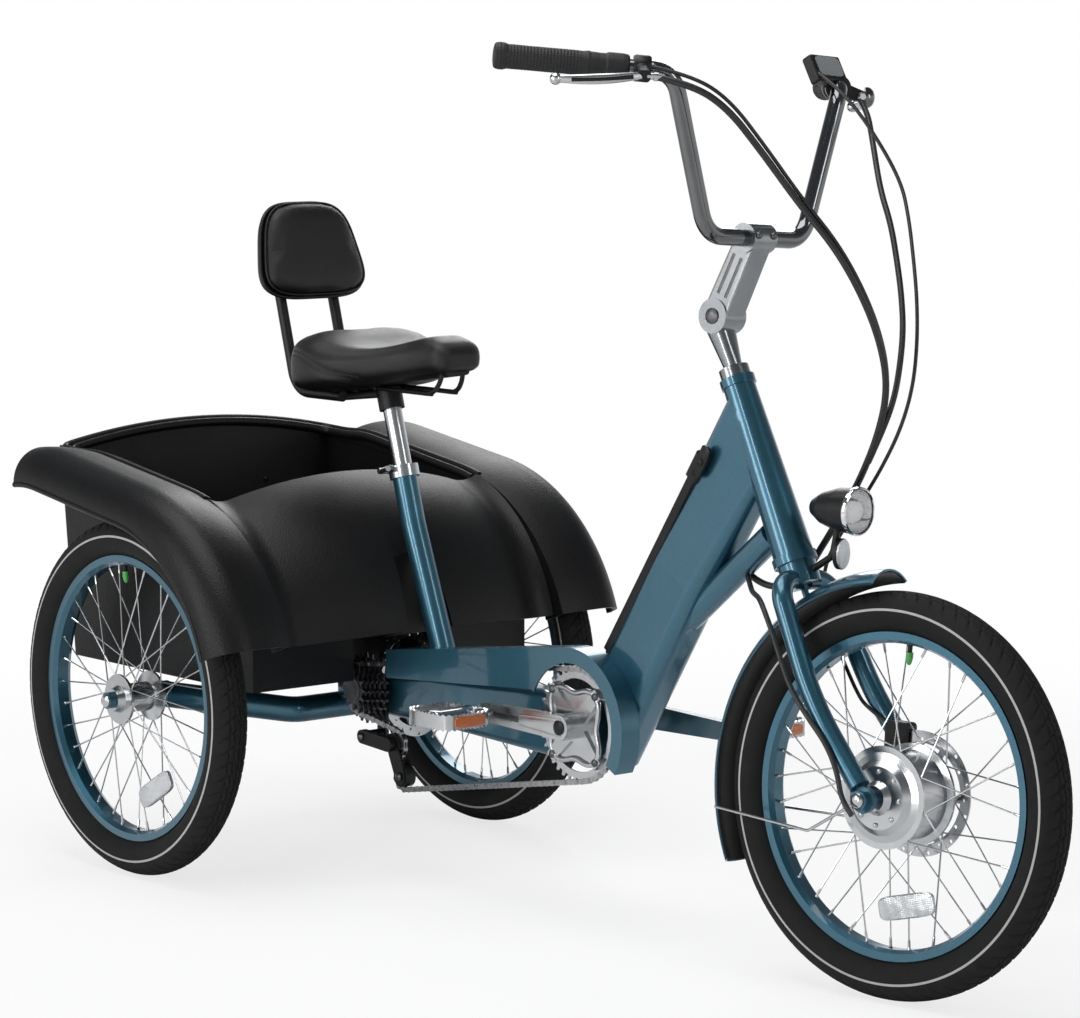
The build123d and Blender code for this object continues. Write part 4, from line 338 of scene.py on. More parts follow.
ROUND_HEAD = ((0, 0), (0, 1.0), (0.45, 1.0), (0.85, 0.7), (1, 0.35), (1, 0))


def heads(radius, profile=ROUND_HEAD):
    return [(share, reach * radius) for share, reach in profile]


def carry(path, wide, tall, up, sides=16, corner=2.0, closed=False):
    """A rounded section carried along a path: wide across it, tall towards the up direction; the ends of an
    open one close to a point."""
    path = np.asarray(path, float)
    ahead = np.roll(path, -1, 0) - np.roll(path, 1, 0) if closed else np.gradient(path, axis=0)
    ahead /= np.linalg.norm(ahead, axis=1, keepdims=True)
    across = np.cross(ahead, up)
    across /= np.linalg.norm(across, axis=1, keepdims=True)
    upright = np.cross(across, ahead)
    outline = rounded(sides, corner)
    wide = np.broadcast_to(wide, len(path))[:, None, None]
    tall = np.broadcast_to(tall, len(path))[:, None, None]
    grid = path[:, None] + wide * outline[:, :1] * across[:, None] + tall * outline[:, 1:] * upright[:, None]
    if closed:
        return grid
    ends = [np.broadcast_to(path[end], (1, sides, 3)) for end in (0, -1)]
    return np.concatenate([ends[0], grid, ends[1]])


TUBE_ALONG = np.array((0.549, 0, 0.836))
TUBE_AHEAD = np.array((0.836, 0, -0.549))
lock_spot = at((904.4, -33.5, 654.4))
lock = skin("battery_lock", plate(lock_spot, TUBE_ALONG, TUBE_AHEAD, (0.024, 0.0095), 0.006, 3.0), fitting,
            "chassis")
keyhole = skin("battery_key", studs(lock_spot - (0, 0.002, 0), lock_spot - (0, 0.006, 0), heads(0.0055)),
               fitting, "chassis")
COVER_TOP, COVER_FOOT = np.array((877.4, 0, 641.3)), np.array((704.5, 0, 387.9))
cover_line = at(np.linspace(COVER_TOP, COVER_FOOT, 12)) + 0.0085 * TUBE_AHEAD
cover = skin("battery_cover", carry(cover_line, 0.0318, 0.0085, TUBE_AHEAD, 40, 8.0), fitting, "chassis")
cap_line = at(np.linspace((891.0, 0, 668.0), (870.0, 0, 637.0), 6)) + 0.011 * TUBE_AHEAD
cover_cap = skin("battery_end_cap", carry(cap_line, 0.033, 0.0125, TUBE_AHEAD, 40, 6.0), fitting, "chassis")
grommet = skin("lead_grommet", studs(fore((270, 2, 524)), fore((286, 2, 508)), heads(0.015)), fitting,
               "chassis")


# Tyres: black rubber with rows of small slanted blocks, and one pale reflecting stripe on each side wall.
# Each stands for the plain solid of its wheel.
def arc_through(first, middle, last, count):
    """Points on the circle through three points of a plane, evenly turned from first to last."""
    (ax, ay), (bx, by), (cx, cy) = first, middle, last
    scale = 2 * (ax * (by - cy) + bx * (cy - ay) + cx * (ay - by))
    a2, b2, c2 = ax * ax + ay * ay, bx * bx + by * by, cx * cx + cy * cy
    ux = (a2 * (by - cy) + b2 * (cy - ay) + c2 * (ay - by)) / scale
    uy = (a2 * (cx - bx) + b2 * (ax - cx) + c2 * (bx - ax)) / scale
    radius = math.hypot(ax - ux, ay - uy)
    turn = [math.atan2(y - uy, x - ux) for x, y in (first, middle, last)]
    half_a = (turn[1] - turn[0] + math.pi) % (2 * math.pi) - math.pi
    half_b = (turn[2] - turn[1] + math.pi) % (2 * math.pi) - math.pi
    angle = turn[0] + np.linspace(0, half_a + half_b, count)
    return np.stack([ux + radius * np.cos(angle), uy + radius * np.sin(angle)], 1)


def wheel_axes(body):
    """A wheel's centre, then its forward, axle and upward directions; the front ones turn with the fork."""
    basis = turn_steered(np.eye(3)) if body == "front_wheel" else np.eye(3)
    return JOINTS[body][0], basis[0], basis[1], basis[2]


TREAD_PITCHES = 76
ROWS_PER_PITCH = 13
BEAD = (0.2031, 0.0129)
SIDE_FOOT = (0.208, 0.0129)
SIDE_MIDDLE = (0.230, 0.0285)
SHOULDER = (0.252, 0.018)
CROWN = 0.258
GROOVE_DEPTH = 0.0021
STRIPE_LOW, STRIPE_HIGH = 0.2335, 0.2365
WHEELS = ("front_wheel", "rear_wheel_right", "rear_wheel_left")


def tyre_grid(body):
    """A closed tyre section of two side arcs and a crown arc carried round the axle. The crown is sunk by
    grooves: slanted cuts once a pitch on each half, and wavy rings at two distances from the middle."""
    left = arc_through(SIDE_FOOT, SIDE_MIDDLE, SHOULDER, 16)
    crown = arc_through(SHOULDER, (CROWN, 0), (SHOULDER[0], -SHOULDER[1]), 39)[1:-1]
    right = left[::-1] * (1, -1)
    section = np.vstack([[BEAD], left, crown, right, [(BEAD[0], -BEAD[1])]])
    count = TREAD_PITCHES * ROWS_PER_PITCH
    turn = np.linspace(0, 2 * math.pi, count, endpoint=False)[:, None]
    radius, side = section[None, :, 0], section[None, :, 1]
    pitch = turn * TREAD_PITCHES / (2 * math.pi)
    wave = np.abs((pitch % 1) - 0.5)
    across = np.abs(side) * 1000
    cut = np.abs(((pitch + 0.045 * across + 0.5 * (side > 0)) % 1) - 0.5)
    rings = np.minimum(np.abs(across - 3.6 - 2.4 * wave), np.abs(across - 10.5 - 3.0 * wave))
    sunk = np.maximum(np.clip(1.6 - cut / 0.06, 0, 1), np.clip(1.7 - rings / 0.75, 0, 1))
    on_tread = np.clip((radius - 0.2425) / 0.004, 0, 1)
    radius = radius - GROOVE_DEPTH * sunk * on_tread
    centre, level, axle, up = wheel_axes(body)
    ring = np.cos(turn)[..., None] * level + np.sin(turn)[..., None] * up
    return centre + radius[..., None] * ring + side[..., None] * axle, section


rubber, rubber_shader, rubber_place = finish("tyre_rubber", Specular_IOR_Level=0.16)
rubber_run = rubber_place.node("ShaderNodeUVMap", {"uv_map": "run"})
rubber_across = rubber_place.node("ShaderNodeSeparateXYZ", {}, {0: rubber_run}, out="Y")
tyre_section = tyre_grid("front_wheel")[1]
section_share = np.arange(len(tyre_section)) / len(tyre_section)
side_run = slice(1, 17)
stripe_from = np.interp(STRIPE_LOW, tyre_section[side_run, 0], section_share[side_run])
stripe_to = np.interp(STRIPE_HIGH, tyre_section[side_run, 0], section_share[side_run])
section_mirror = section_share[-1]
folded = rubber_place.math("MINIMUM", rubber_across, section_mirror - rubber_across)
stripe = (folded > stripe_from) * (folded < stripe_to)
dusty = grain(rubber_place, 30.0).mix((0.009, 0.009, 0.009, 1), (0.017, 0.017, 0.017, 1))
stripe.mix(dusty, (0.45, 0.45, 0.43, 1)).into(rubber_shader, "Base Color")
(0.66 - stripe * 0.3 + grain(rubber_place, 200.0) * 0.12).into(rubber_shader, "Roughness")
grain(rubber_place, 1500.0).bump(0.0002, 0.4).into(rubber_shader, "Normal")
for body in WHEELS:
    node = "tyre_" + body.replace("_wheel", "")
    tyre = skin("road_" + node, tyre_grid(body)[0], rubber, body, wrap_along=True, sharp=50.0)
    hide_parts(node)

# Wheel fittings: polished hubs and motor shell, bright wire spokes on small nipples, a valve with a
# green cap in each rim, cover screws on the motor, domed axle nuts, and clip-on spoke reflectors.
alloy, alloy_shader, alloy_place = finish("polished_alloy", Metallic=1.0)
stretched = alloy_place.node("ShaderNodeMapping", {}, {0: alloy_place, "Scale": (60.0, 900.0, 60.0)})
grain(alloy_place, 30.0).mix((0.46, 0.47, 0.48, 1), (0.58, 0.59, 0.6, 1)).into(alloy_shader, "Base Color")
(grain(stretched, 1.0) * 0.16 + 0.14).into(alloy_shader, "Roughness")
grain(stretched, 1.0).bump(0.00004, 0.5).into(alloy_shader, "Normal")
dress(alloy, "crankset", "seat_collar", "seat_post", "motor_hub_front", "hub_rear_right", "hub_rear_left",
      "brake_disc_front", "brake_disc_rear", "fender_stays")
cap_green, cap_shader, cap_place = finish("green_cap", Specular_IOR_Level=0.5)
grain(cap_place, 400.0).mix((0.06, 0.36, 0.07, 1), (0.1, 0.45, 0.1, 1)).into(cap_shader, "Base Color")
(grain(cap_place, 300.0) * 0.1 + 0.35).into(cap_shader, "Roughness")
prism, prism_shader, prism_place = finish("silver_reflector", Metallic=0.7, Coat_Weight=1.0,
                                          Coat_Roughness=0.05)
cells = prism_place.node("ShaderNodeTexVoronoi", {},
                         {"Vector": prism_place, "Scale": 420.0, "Randomness": 0.15})
cells.ramp(0.1, 0.6).mix((0.75, 0.76, 0.77, 1), (0.5, 0.52, 0.54, 1)).into(prism_shader, "Base Color")
(cells * 0.2 + 0.12).into(prism_shader, "Roughness")
cells.bump(0.0006, 0.8).into(prism_shader, "Normal")

SPOKES = np.arange(36)
SPOKE_TIP = 0.1923
SPOKE_LEAN = math.radians(34.0)
NIPPLE = ((0, 0), (0, 0.0013), (0.15, 0.0017), (0.9, 0.0019), (1, 0.0026), (1, 0))
VALVE_TURNS = {"front_wheel": 1.54, "rear_wheel_right": 1.69, "rear_wheel_left": 1.1}
REFLECTOR_TURNS = {"front_wheel": (4.957, 0.138), "rear_wheel_right": (5.24, 0.142)}
for body in WHEELS:
    centre, level, axle, up = wheel_axes(body)
    front = body == "front_wheel"
    flange_radius, flange_side = (0.061, 0.031) if front else (0.032, 0.027)
    side = np.where(SPOKES % 2, flange_side, -flange_side)[:, None]
    lean = np.where(SPOKES % 4 < 2, SPOKE_LEAN, -SPOKE_LEAN)
    rim_turn = 2 * math.pi * SPOKES / len(SPOKES)
    reach_out = np.cos(rim_turn)[:, None] * level + np.sin(rim_turn)[:, None] * up
    hub_out = np.cos(rim_turn + lean)[:, None] * level + np.sin(rim_turn + lean)[:, None] * up
    spoke_ends = centre + SPOKE_TIP * reach_out + 0.1 * side * axle
    inward = centre + flange_radius * hub_out + side * axle - spoke_ends
    inward /= np.linalg.norm(inward, axis=1, keepdims=True)
    nipples = skin("nipples_" + body, studs(spoke_ends + 0.013 * inward, spoke_ends, NIPPLE, 8), alloy, body)
    valve_out = math.cos(VALVE_TURNS[body]) * level + math.sin(VALVE_TURNS[body]) * up
    stem_profile = ((0, 0), (0, 0.0042), (0.1, 0.0042), (0.12, 0.0031), (0.62, 0.0029), (0.65, 0.0024),
                    (1, 0.0024), (1, 0))
    valve = skin("valve_" + body,
                 studs(centre + 0.1926 * valve_out, centre + 0.172 * valve_out, stem_profile), fitting,
                 body)
    cap = skin("valve_cap_" + body,
               studs(centre + 0.182 * valve_out, centre + 0.166 * valve_out, heads(0.0046)),
               cap_green, body)
    if body in REFLECTOR_TURNS:
        turn, distance = REFLECTOR_TURNS[body]
        out = math.cos(turn) * level + math.sin(turn) * up
        tangent = -math.sin(turn) * level + math.cos(turn) * up
        mirror = skin("spoke_reflector_" + body, plate(
            centre + distance * out - 0.0135 * axle, tangent, out, (0.043, 0.0155), 0.008, 5.0), prism, body)
    nut_side = 0.0822 if front else 0.0492
    nut_signs = (-1, 1) if front else ((-1,) if body.endswith("right") else (1,))
    for sign in nut_signs:
        foot = centre + sign * nut_side * axle
        nut = skin(f"axle_cap_{body}_{sign + 1}", studs(foot, foot + sign * 0.006 * axle, heads(0.0095)),
                   alloy, "steering" if front else "chassis")
screw_turn = np.linspace(0, 2 * math.pi, 8, endpoint=False)[:, None]
motor_centre, motor_level, motor_axle, motor_up = wheel_axes("front_wheel")
screw_spots = motor_centre + 0.0335 * (np.cos(screw_turn) * motor_level + np.sin(screw_turn) * motor_up)
motor_screws = skin("motor_screws", studs(
    screw_spots - 0.0428 * motor_axle, screw_spots - 0.0458 * motor_axle, heads(0.0034), 12), alloy,
    "front_wheel")

# Cargo body: black moulded polyethylene with a fine leather-like grain and a soft sheen. The tub's rear
# wall ends in a double rolled rim, each fender in a rolled outer lip, and three screws stand in that wall.
plastic, plastic_shader, plastic_place = finish("black_moulded_plastic", Specular_IOR_Level=0.24)
pebbles = plastic_place.node("ShaderNodeTexVoronoi", {"feature": "SMOOTH_F1"},
                             {"Vector": plastic_place, "Scale": 420.0, "Smoothness": 0.6})
grain(plastic_place, 6.0).mix((0.0035, 0.0035, 0.0038, 1), (0.007, 0.007, 0.0075, 1)).into(plastic_shader,
                                                                                           "Base Color")
(pebbles * 0.12 + grain(plastic_place, 18.0) * 0.08 + 0.31).into(plastic_shader, "Roughness")
pebbles.bump(0.0006, 0.45).into(plastic_shader, "Normal")
dress(plastic, "cargo_tub", "cargo_panel", "fender_left", "fender_right")


WALL_FOOT = np.array((-266.0, 0, 281.0))
WALL_TOP = np.array((-300.0, 0, 594.0))
wall_height = np.linalg.norm(WALL_TOP - WALL_FOOT)
wall_up = (WALL_TOP - WALL_FOOT) / wall_height
rim_arc = arc_through((247.0, wall_height), (0.0, wall_height + 27.0), (-247.0, wall_height), 72)
wall_line = WALL_FOOT + rim_arc[:, 1:] * wall_up + rim_arc[:, :1] * (0, 1, 0)
TAIL_RISE, STRAIGHT = 62.0, 220.0
HUB_SPOT = np.array((0, 0, 258.0))
FENDER_END = math.radians(81.5)


def fender_line(radius, begin):
    """A line along a fender at a radius from the hub: round the wheel, straight back, and round the tail."""
    outward = np.array((math.cos(FENDER_END), 0, math.sin(FENDER_END)))
    backward = np.array((-outward[2], 0, outward[0]))
    turn = np.linspace(math.radians(begin), FENDER_END, 40)
    tail = np.radians(np.linspace(81.5, 97.5, 10))
    over = HUB_SPOT + radius * np.stack([np.cos(turn), 0 * turn, np.sin(turn)], 1)
    run = over[-1] + np.linspace(0, STRAIGHT, 12)[1:-1, None] * backward
    fall = HUB_SPOT + TAIL_RISE * outward + STRAIGHT * backward
    fall = fall + (radius - TAIL_RISE) * np.stack([np.cos(tail), 0 * tail, np.sin(tail)], 1)
    return np.vstack([over, run, fall])


def even(points, step, ease):
    """A line sampled at even steps, each point then averaged with its neighbours to round the corners."""
    run = np.concatenate([[0], np.cumsum(np.linalg.norm(np.diff(points, axis=0), axis=1))])
    marks = np.linspace(0, run[-1], int(run[-1] / step))
    line = np.stack([np.interp(marks, run, points[:, axis]) for axis in range(3)], 1)
    padded = np.pad(line, ((ease, ease), (0, 0)), "edge")
    return np.stack([np.convolve(padded[:, axis], np.full(2 * ease + 1, 1 / (2 * ease + 1)),
                                 "valid") for axis in range(3)], 1)


inner_edge = fender_line(303.0, 73.0)
rim_line = even(np.vstack([inner_edge + (0, 250.0, 0), wall_line, inner_edge[::-1] - (0, 250.0, 0)]), 6.0, 3)
for name, inset, thick in (("outer", 0.0, 5.4), ("inner", 11.5, 4.6)):
    inside = (rim_line - (-60.0, 0, rim_line[0, 2])) * (1, 1, 0)
    inside /= np.linalg.norm(inside, axis=1, keepdims=True)
    rolled = skin("tub_rim_" + name,
                  carry(at(rim_line - inset * inside - (0, 0, 2.5 + 0.3 * inset)), thick / 1000, 0.0065,
                                           (0, 0, 1.0)), plastic, "chassis")
for name, sign in (("left", 1), ("right", -1)):
    lip_line = fender_line(262.0, 19.5) + (0, sign * 370.0, 0)
    lip = skin("fender_lip_" + name, carry(at(lip_line), 0.0042, 0.0042, (0, 1.0, 0)), plastic, "chassis")
    corner_line = np.linspace((-299.0, sign * 249.0, 575.0), (-232.0, sign * 250.5, 572.0), 12)
    gusset = skin("tub_corner_" + name, carry(at(corner_line), 0.002, 0.021, (0, 0, 1.0), 24, 6.0), plastic,
                  "chassis")
wall_spots = WALL_FOOT + 4.0 * np.array((1, 0, 0)) + np.array([(0, -96, 0), (0, -52, 0), (0, 120, 0)])
wall_spots = wall_spots + wall_up * np.array([[196.0], [206.0], [240.0]])
wall_screws = skin("wall_screws", studs(at(wall_spots), at(wall_spots + (3.5, 0, 0)), heads(0.0045)), plastic,
                   "chassis")

# Seat: a broad foam saddle and a small backrest under black grained vinyl, inflated by a cloth simulation
# and then sewn. Two stitched lines sweep down each side of the saddle, and piping runs round the backrest.
vinyl, vinyl_shader, vinyl_place = finish("black_vinyl", Specular_IOR_Level=0.36)
creases = vinyl_place.node("ShaderNodeTexVoronoi", {"feature": "DISTANCE_TO_EDGE"},
                           {"Vector": vinyl_place, "Scale": 700.0})
grain(vinyl_place, 12.0).mix((0.003, 0.003, 0.0033, 1), (0.006, 0.0058, 0.006, 1)).into(vinyl_shader,
                                                                                        "Base Color")
(grain(vinyl_place, 60.0) * 0.12 + 0.3).into(vinyl_shader, "Roughness")
creases.ramp(0.0, 0.25).bump(0.00025, 0.5).into(vinyl_shader, "Normal")


def flow(stations, values, spots):
    """A smooth curve through values at stations: cubic pieces with central slopes."""
    stations, values = np.asarray(stations, float), np.asarray(values, float)
    slopes = np.gradient(values, stations)
    k = np.clip(np.searchsorted(stations, spots) - 1, 0, len(stations) - 2)
    width = stations[k + 1] - stations[k]
    t = (spots - stations[k]) / width
    rise = t * t * (3 - 2 * t)
    bend = t * (1 - t) * width * ((1 - t) * slopes[k] - t * slopes[k + 1])
    return values[k] * (1 - rise) + values[k + 1] * rise + bend


def inflate(piece, voxel, cap):
    """Remesh a piece evenly, blow it up as cloth, keep each point within a cap of where it began, and
    ease it."""
    remesh = piece.modifiers.new("remesh", "REMESH")
    remesh.voxel_size = voxel
    shaped = bpy.data.meshes.new_from_object(piece.evaluated_get(bpy.context.evaluated_depsgraph_get()))
    piece.modifiers.clear()
    piece.data = shaped
    began = np.empty(len(shaped.vertices) * 3)
    shaped.vertices.foreach_get("co", began)
    cloth = piece.modifiers.new("cloth", "CLOTH")
    cloth.settings.use_pressure = True
    cloth.settings.uniform_pressure_force = 4.0
    cloth.settings.effector_weights.gravity = 0.0
    for step in range(1, 21):
        bpy.context.scene.frame_set(step)
    blown = piece.evaluated_get(bpy.context.evaluated_depsgraph_get()).data
    ended = np.empty(len(began))
    blown.vertices.foreach_get("co", ended)
    move = (ended - began).reshape(-1, 3)
    length = np.linalg.norm(move, axis=1, keepdims=True)
    move *= np.minimum(1, cap / np.maximum(length, 1e-9))
    shaped.vertices.foreach_set("co", began + move.ravel())
    piece.modifiers.clear()
    bpy.context.scene.frame_set(1)
    eased = piece.modifiers.new("eased", "SMOOTH")
    eased.factor = 0.5
    eased.iterations = 6
    piece.data = bpy.data.meshes.new_from_object(piece.evaluated_get(bpy.context.evaluated_depsgraph_get()))
    piece.modifiers.clear()
    piece.data.shade_smooth()


def sew(piece, seam, depth, width):
    """Sink a piece's points towards its inside near a seam, by depth times a bell of their distance to it;
    gives the points on the surface nearest to the seam, and the outward directions there."""
    mesh = piece.data
    count = len(mesh.vertices)
    spots, normals = np.empty(count * 3), np.empty(count * 3)
    mesh.vertices.foreach_get("co", spots)
    mesh.vertices.foreach_get("normal", normals)
    spots, normals = spots.reshape(-1, 3), normals.reshape(-1, 3)
    apart = np.linalg.norm(spots[:, None] - seam[None], axis=2)
    nearest = apart.argmin(0)
    shared = np.exp(-(apart[:, :, None] / 0.008)**2)
    surface = (shared * spots[:, None]).sum(0) / shared.sum(0)
    outward = (shared * normals[:, None]).sum(0)
    outward /= np.linalg.norm(outward, axis=1, keepdims=True)
    lift = ((spots[nearest] - surface) * outward).sum(1, keepdims=True)
    surface = surface + np.clip(lift, 0, 0.002) * outward
    apart = np.linalg.norm(spots[:, None] - surface[None], axis=2).min(1)
    sunk = depth * np.exp(-(apart / width)**2)
    mesh.vertices.foreach_set("co", (spots - sunk[:, None] * normals).ravel())
    return surface - depth * 0.6 * outward, outward


SADDLE_STATIONS = (89, 96, 112, 140, 175, 215, 255, 295, 330, 354, 366)
SADDLE_HALF = (103, 110, 116, 120, 115, 97, 74, 56, 47, 40, 28)
SADDLE_TOPS = (770, 778, 780, 777, 768, 764, 767, 775, 781, 778, 766)
SADDLE_LOWS = (699, 698, 698, 700, 706, 714, 721, 728, 735, 740, 745)


def saddle_points(spots, turn):
    """Saddle surface: at each station a rounded section between its low and top heights, square below and
    softly crowned above, with a dish sunk in the middle of the top."""
    half, top, low = (flow(SADDLE_STATIONS, values, spots) for values in (SADDLE_HALF, SADDLE_TOPS,
                                                                          SADDLE_LOWS))
    middle = low + 0.42 * (top - low)
    c, s = np.cos(turn), np.sin(turn)
    side = half * np.sign(c) * np.abs(c)**0.5
    height = middle + np.where(s > 0, (top - middle) * np.abs(s)**0.6, -(middle - low) * np.abs(s)**0.32)
    dish = 9.0 * np.exp(-((spots - 205.0) / 62.0)**2) * np.clip(s, 0, 1)**2 * (1 - (side / half)**2)
    height = height - dish
    return at(np.stack(np.broadcast_arrays(spots, side, height), -1))


saddle_spots = np.linspace(SADDLE_STATIONS[0], SADDLE_STATIONS[-1], 60)[:, None]
saddle_turns = np.linspace(0, 2 * math.pi, 64, endpoint=False)[None]
saddle_grid = saddle_points(saddle_spots, saddle_turns)
saddle_ends = [np.broadcast_to(saddle_grid[end].mean(0), (1, 64, 3)) for end in (0, -1)]
saddle = skin("vinyl_saddle", np.concatenate([saddle_ends[0], saddle_grid, saddle_ends[1]]), vinyl, "chassis")
inflate(saddle, 0.005, 0.005)
base_line = at(np.linspace((238, 0, 721), (350, 0, 737), 16))
stitch_feet, stitch_tips = [], []
for sign in (-1, 1):
    for begin, end, high, low in ((98, 214, 0.34, -0.86), (98, 227, 0.5, -0.8)):
        share = np.linspace(0, 1, 84)
        level = high + (low - high) * share**2.2
        turn = np.where(level > 0, np.arcsin(np.abs(level)**(1 / 0.6)), -np.arcsin(np.abs(level)**(1 / 0.32)))
        seam = saddle_points(begin + (end - begin) * share, turn if sign > 0 else math.pi - turn)
        sewn, outward = sew(saddle, seam, 0.002, 0.0035)
        stitch_feet.append(sewn[:-1:2] + 0.0004 * outward[:-1:2])
        stitch_tips.append(sewn[1::2] * 0.9 + sewn[:-1:2] * 0.1 + 0.0004 * outward[1::2])
smoother = saddle.modifiers.new("smooth", "SUBSURF")
smoother.levels = smoother.render_levels = 1
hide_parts("saddle")
thread, thread_shader, thread_place = finish("grey_thread", Roughness=0.7)
grain(thread_place, 900.0).mix((0.03, 0.03, 0.03, 1), (0.06, 0.06, 0.06, 1)).into(thread_shader, "Base Color")
THREAD = ((0, 0), (0.1, 0.0005), (0.5, 0.0007), (0.9, 0.0005), (1, 0))
base = skin("saddle_base", carry(base_line, np.linspace(0.031, 0.021, 16), 0.0085, (0, 0, 1.0), 24, 4.0),
            fitting, "chassis")
for name, side in (("right", -22), ("left", 22)):
    bend = even(np.array([(296, side, 702), (318, side, 702), (334, side * 0.9, 716), (342, side * 0.8, 748)],
                         float), 2.0, 5)
    hook = skin("rail_hook_" + name, carry(at(bend), 0.0035, 0.0035, (0, 1.0, 0)), fitting, "chassis")
stitches = skin("saddle_stitches", studs(np.vstack(stitch_feet), np.vstack(stitch_tips), THREAD, 6), thread,
                "chassis")

BACK_FOOT = np.array((0, 0, 818.0))
BACK_LEAN = math.radians(16.0)
back_up = np.array((-math.sin(BACK_LEAN), 0, math.cos(BACK_LEAN)))
back_out = np.array((math.cos(BACK_LEAN), 0, math.sin(BACK_LEAN)))


def backrest_line(scale, depth, count=96):
    """Outline of the backrest: a rounded square narrowed towards its top, at a depth from its back."""
    outline = rounded(count, 3.8)
    half = 87.0 - 14.0 * outline[:, 1:]
    flat = scale * outline[:, :1] * half * (0, 1, 0) + (73 + scale * outline[:, 1:] * 72) * back_up
    return at(BACK_FOOT + flat + depth * back_out)


cushion_profile = ((0, 13), (0.5, 13), (0.9, 13.5), (0.95, 18), (0.955, 26), (0.9, 32), (0.6, 36),
                   (0.3, 37.5), (0, 38))
cushion = skin("vinyl_backrest", np.stack([backrest_line(scale, depth) for scale, depth in cushion_profile]),
               vinyl, "chassis")
inflate(cushion, 0.005, 0.0022)
sew(cushion, backrest_line(0.93, 31.0), 0.0015, 0.004)
softer = cushion.modifiers.new("smooth", "SUBSURF")
softer.levels = softer.render_levels = 1
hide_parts("backrest_pad")
for name, scale, depth, thick in (("front", 0.957, 24.0, 0.0016), ("back", 0.985, 13.5, 0.003)):
    piping = skin("backrest_piping_" + name,
                  carry(backrest_line(scale, depth), thick, thick, back_out, 10, closed=True),
                  vinyl, "chassis", wrap_along=True)
shell_profile = ((0, 0.6), (0.8, 0.6), (0.96, 3), (0.985, 8), (0.98, 13), (0, 13))
shell = skin("backrest_shell", np.stack([backrest_line(scale, depth) for scale, depth in shell_profile]),
             fitting, "chassis")

# Drive: a bright roller chain over the chainring, a dark cog and two derailleur pulleys, built link by
# link, with bolts on the spider, a cap on each crank and alloy cage pedals with amber reflectors.
steel, steel_shader, steel_place = finish("oiled_steel", Metallic=1.0)
grain(steel_place, 120.0).mix((0.3, 0.3, 0.31, 1), (0.5, 0.5, 0.51, 1)).into(steel_shader, "Base Color")
(grain(steel_place, 300.0) * 0.2 + 0.2).into(steel_shader, "Roughness")
grain(steel_place, 700.0).bump(0.0001, 0.3).into(steel_shader, "Normal")
dark_steel, dark_shader, dark_place = finish("dark_steel", Metallic=1.0)
grain(dark_place, 90.0).mix((0.07, 0.07, 0.075, 1), (0.16, 0.16, 0.165, 1)).into(dark_shader, "Base Color")
(grain(dark_place, 200.0) * 0.2 + 0.28).into(dark_shader, "Roughness")
dress(dark_steel, "jackshaft")
amber, amber_shader, amber_place = finish("amber_reflector", Coat_Weight=1.0, Coat_Roughness=0.05)
facets = amber_place.node("ShaderNodeTexVoronoi", {},
                          {"Vector": amber_place, "Scale": 380.0, "Randomness": 0.1})
facets.ramp(0.1, 0.7).mix((0.75, 0.2, 0.012, 1), (0.42, 0.085, 0.008, 1)).into(amber_shader, "Base Color")
(facets * 0.2 + 0.15).into(amber_shader, "Roughness")
facets.bump(0.0006, 0.8).into(amber_shader, "Normal")

CHAIN_PITCH = 12.7
CHAIN_SIDE = -48.0
CHAIN_WHEELS = (((673.0, 278.0), 38, 1), ((184.0, 266.0), 18, 1), ((266.0, 196.0), 0, -1),
                ((286.0, 152.0), 0, 1))
PULLEY_RADIUS = 20.0


def chain_route():
    """The closed roller line over four wheels as points (forward, height): common tangents joined by arcs;
    a wheel of negative radius is passed on its other side."""
    spots = [np.array(spot) for spot, teeth, sense in CHAIN_WHEELS]
    radii = [sense * (CHAIN_PITCH / (2 * math.sin(math.pi / teeth)) if teeth else PULLEY_RADIUS)
             for spot, teeth, sense in CHAIN_WHEELS]
    tangents = []
    for first in range(4):
        second = (first + 1) % 4
        gap = spots[second] - spots[first]
        left = math.atan2(gap[1], gap[0]) + math.acos((radii[second] - radii[first]) / np.linalg.norm(gap))
        normal = np.array((math.cos(left), math.sin(left)))
        tangents.append((spots[first] - normal * radii[first], spots[second] - normal * radii[second]))
    route = []
    for run in range(4):
        wheel = (run + 1) % 4
        arrive = tangents[run][1] - spots[wheel]
        leave = tangents[wheel][0] - spots[wheel]
        begin = math.atan2(arrive[1], arrive[0])
        sweep = (math.atan2(leave[1], leave[0]) - begin) % (2 * math.pi)
        if radii[wheel] < 0:
            sweep -= 2 * math.pi
        turn = begin + np.linspace(0, sweep, 90)
        route.append(np.linspace(tangents[run][0], tangents[run][1], 60)[:-1])
        route.append(spots[wheel] + abs(radii[wheel]) * np.stack([np.cos(turn), np.sin(turn)], 1)[:-1])
    return np.vstack(route)


route = chain_route()
looped = np.vstack([route, route[:1]])
run_length = np.concatenate([[0], np.cumsum(np.linalg.norm(np.diff(looped, axis=0), axis=1))])
links = 2 * round(run_length[-1] / CHAIN_PITCH / 2)
marks = np.arange(links) * run_length[-1] / links
pins = np.stack([np.interp(marks, run_length, looped[:, axis]) for axis in (0, 1)], 1)
link_line = np.roll(pins, -1, 0) - pins
link_ahead = link_line / np.linalg.norm(link_line, axis=1, keepdims=True)
link_up = np.stack([-link_ahead[:, 1], link_ahead[:, 0]], 1)
end_turn = np.linspace(-math.pi / 2, math.pi / 2, 7)
front_end = np.stack([CHAIN_PITCH / 2 + 4.1 * np.cos(end_turn), 4.1 * np.sin(end_turn)], 1)
plate_outline = np.vstack([front_end, [(0, 3.0)], -front_end, [(0, -3.0)]])
PLATE_ROWS = ((0, 0), (1, 0), (1, 1), (0, 1))


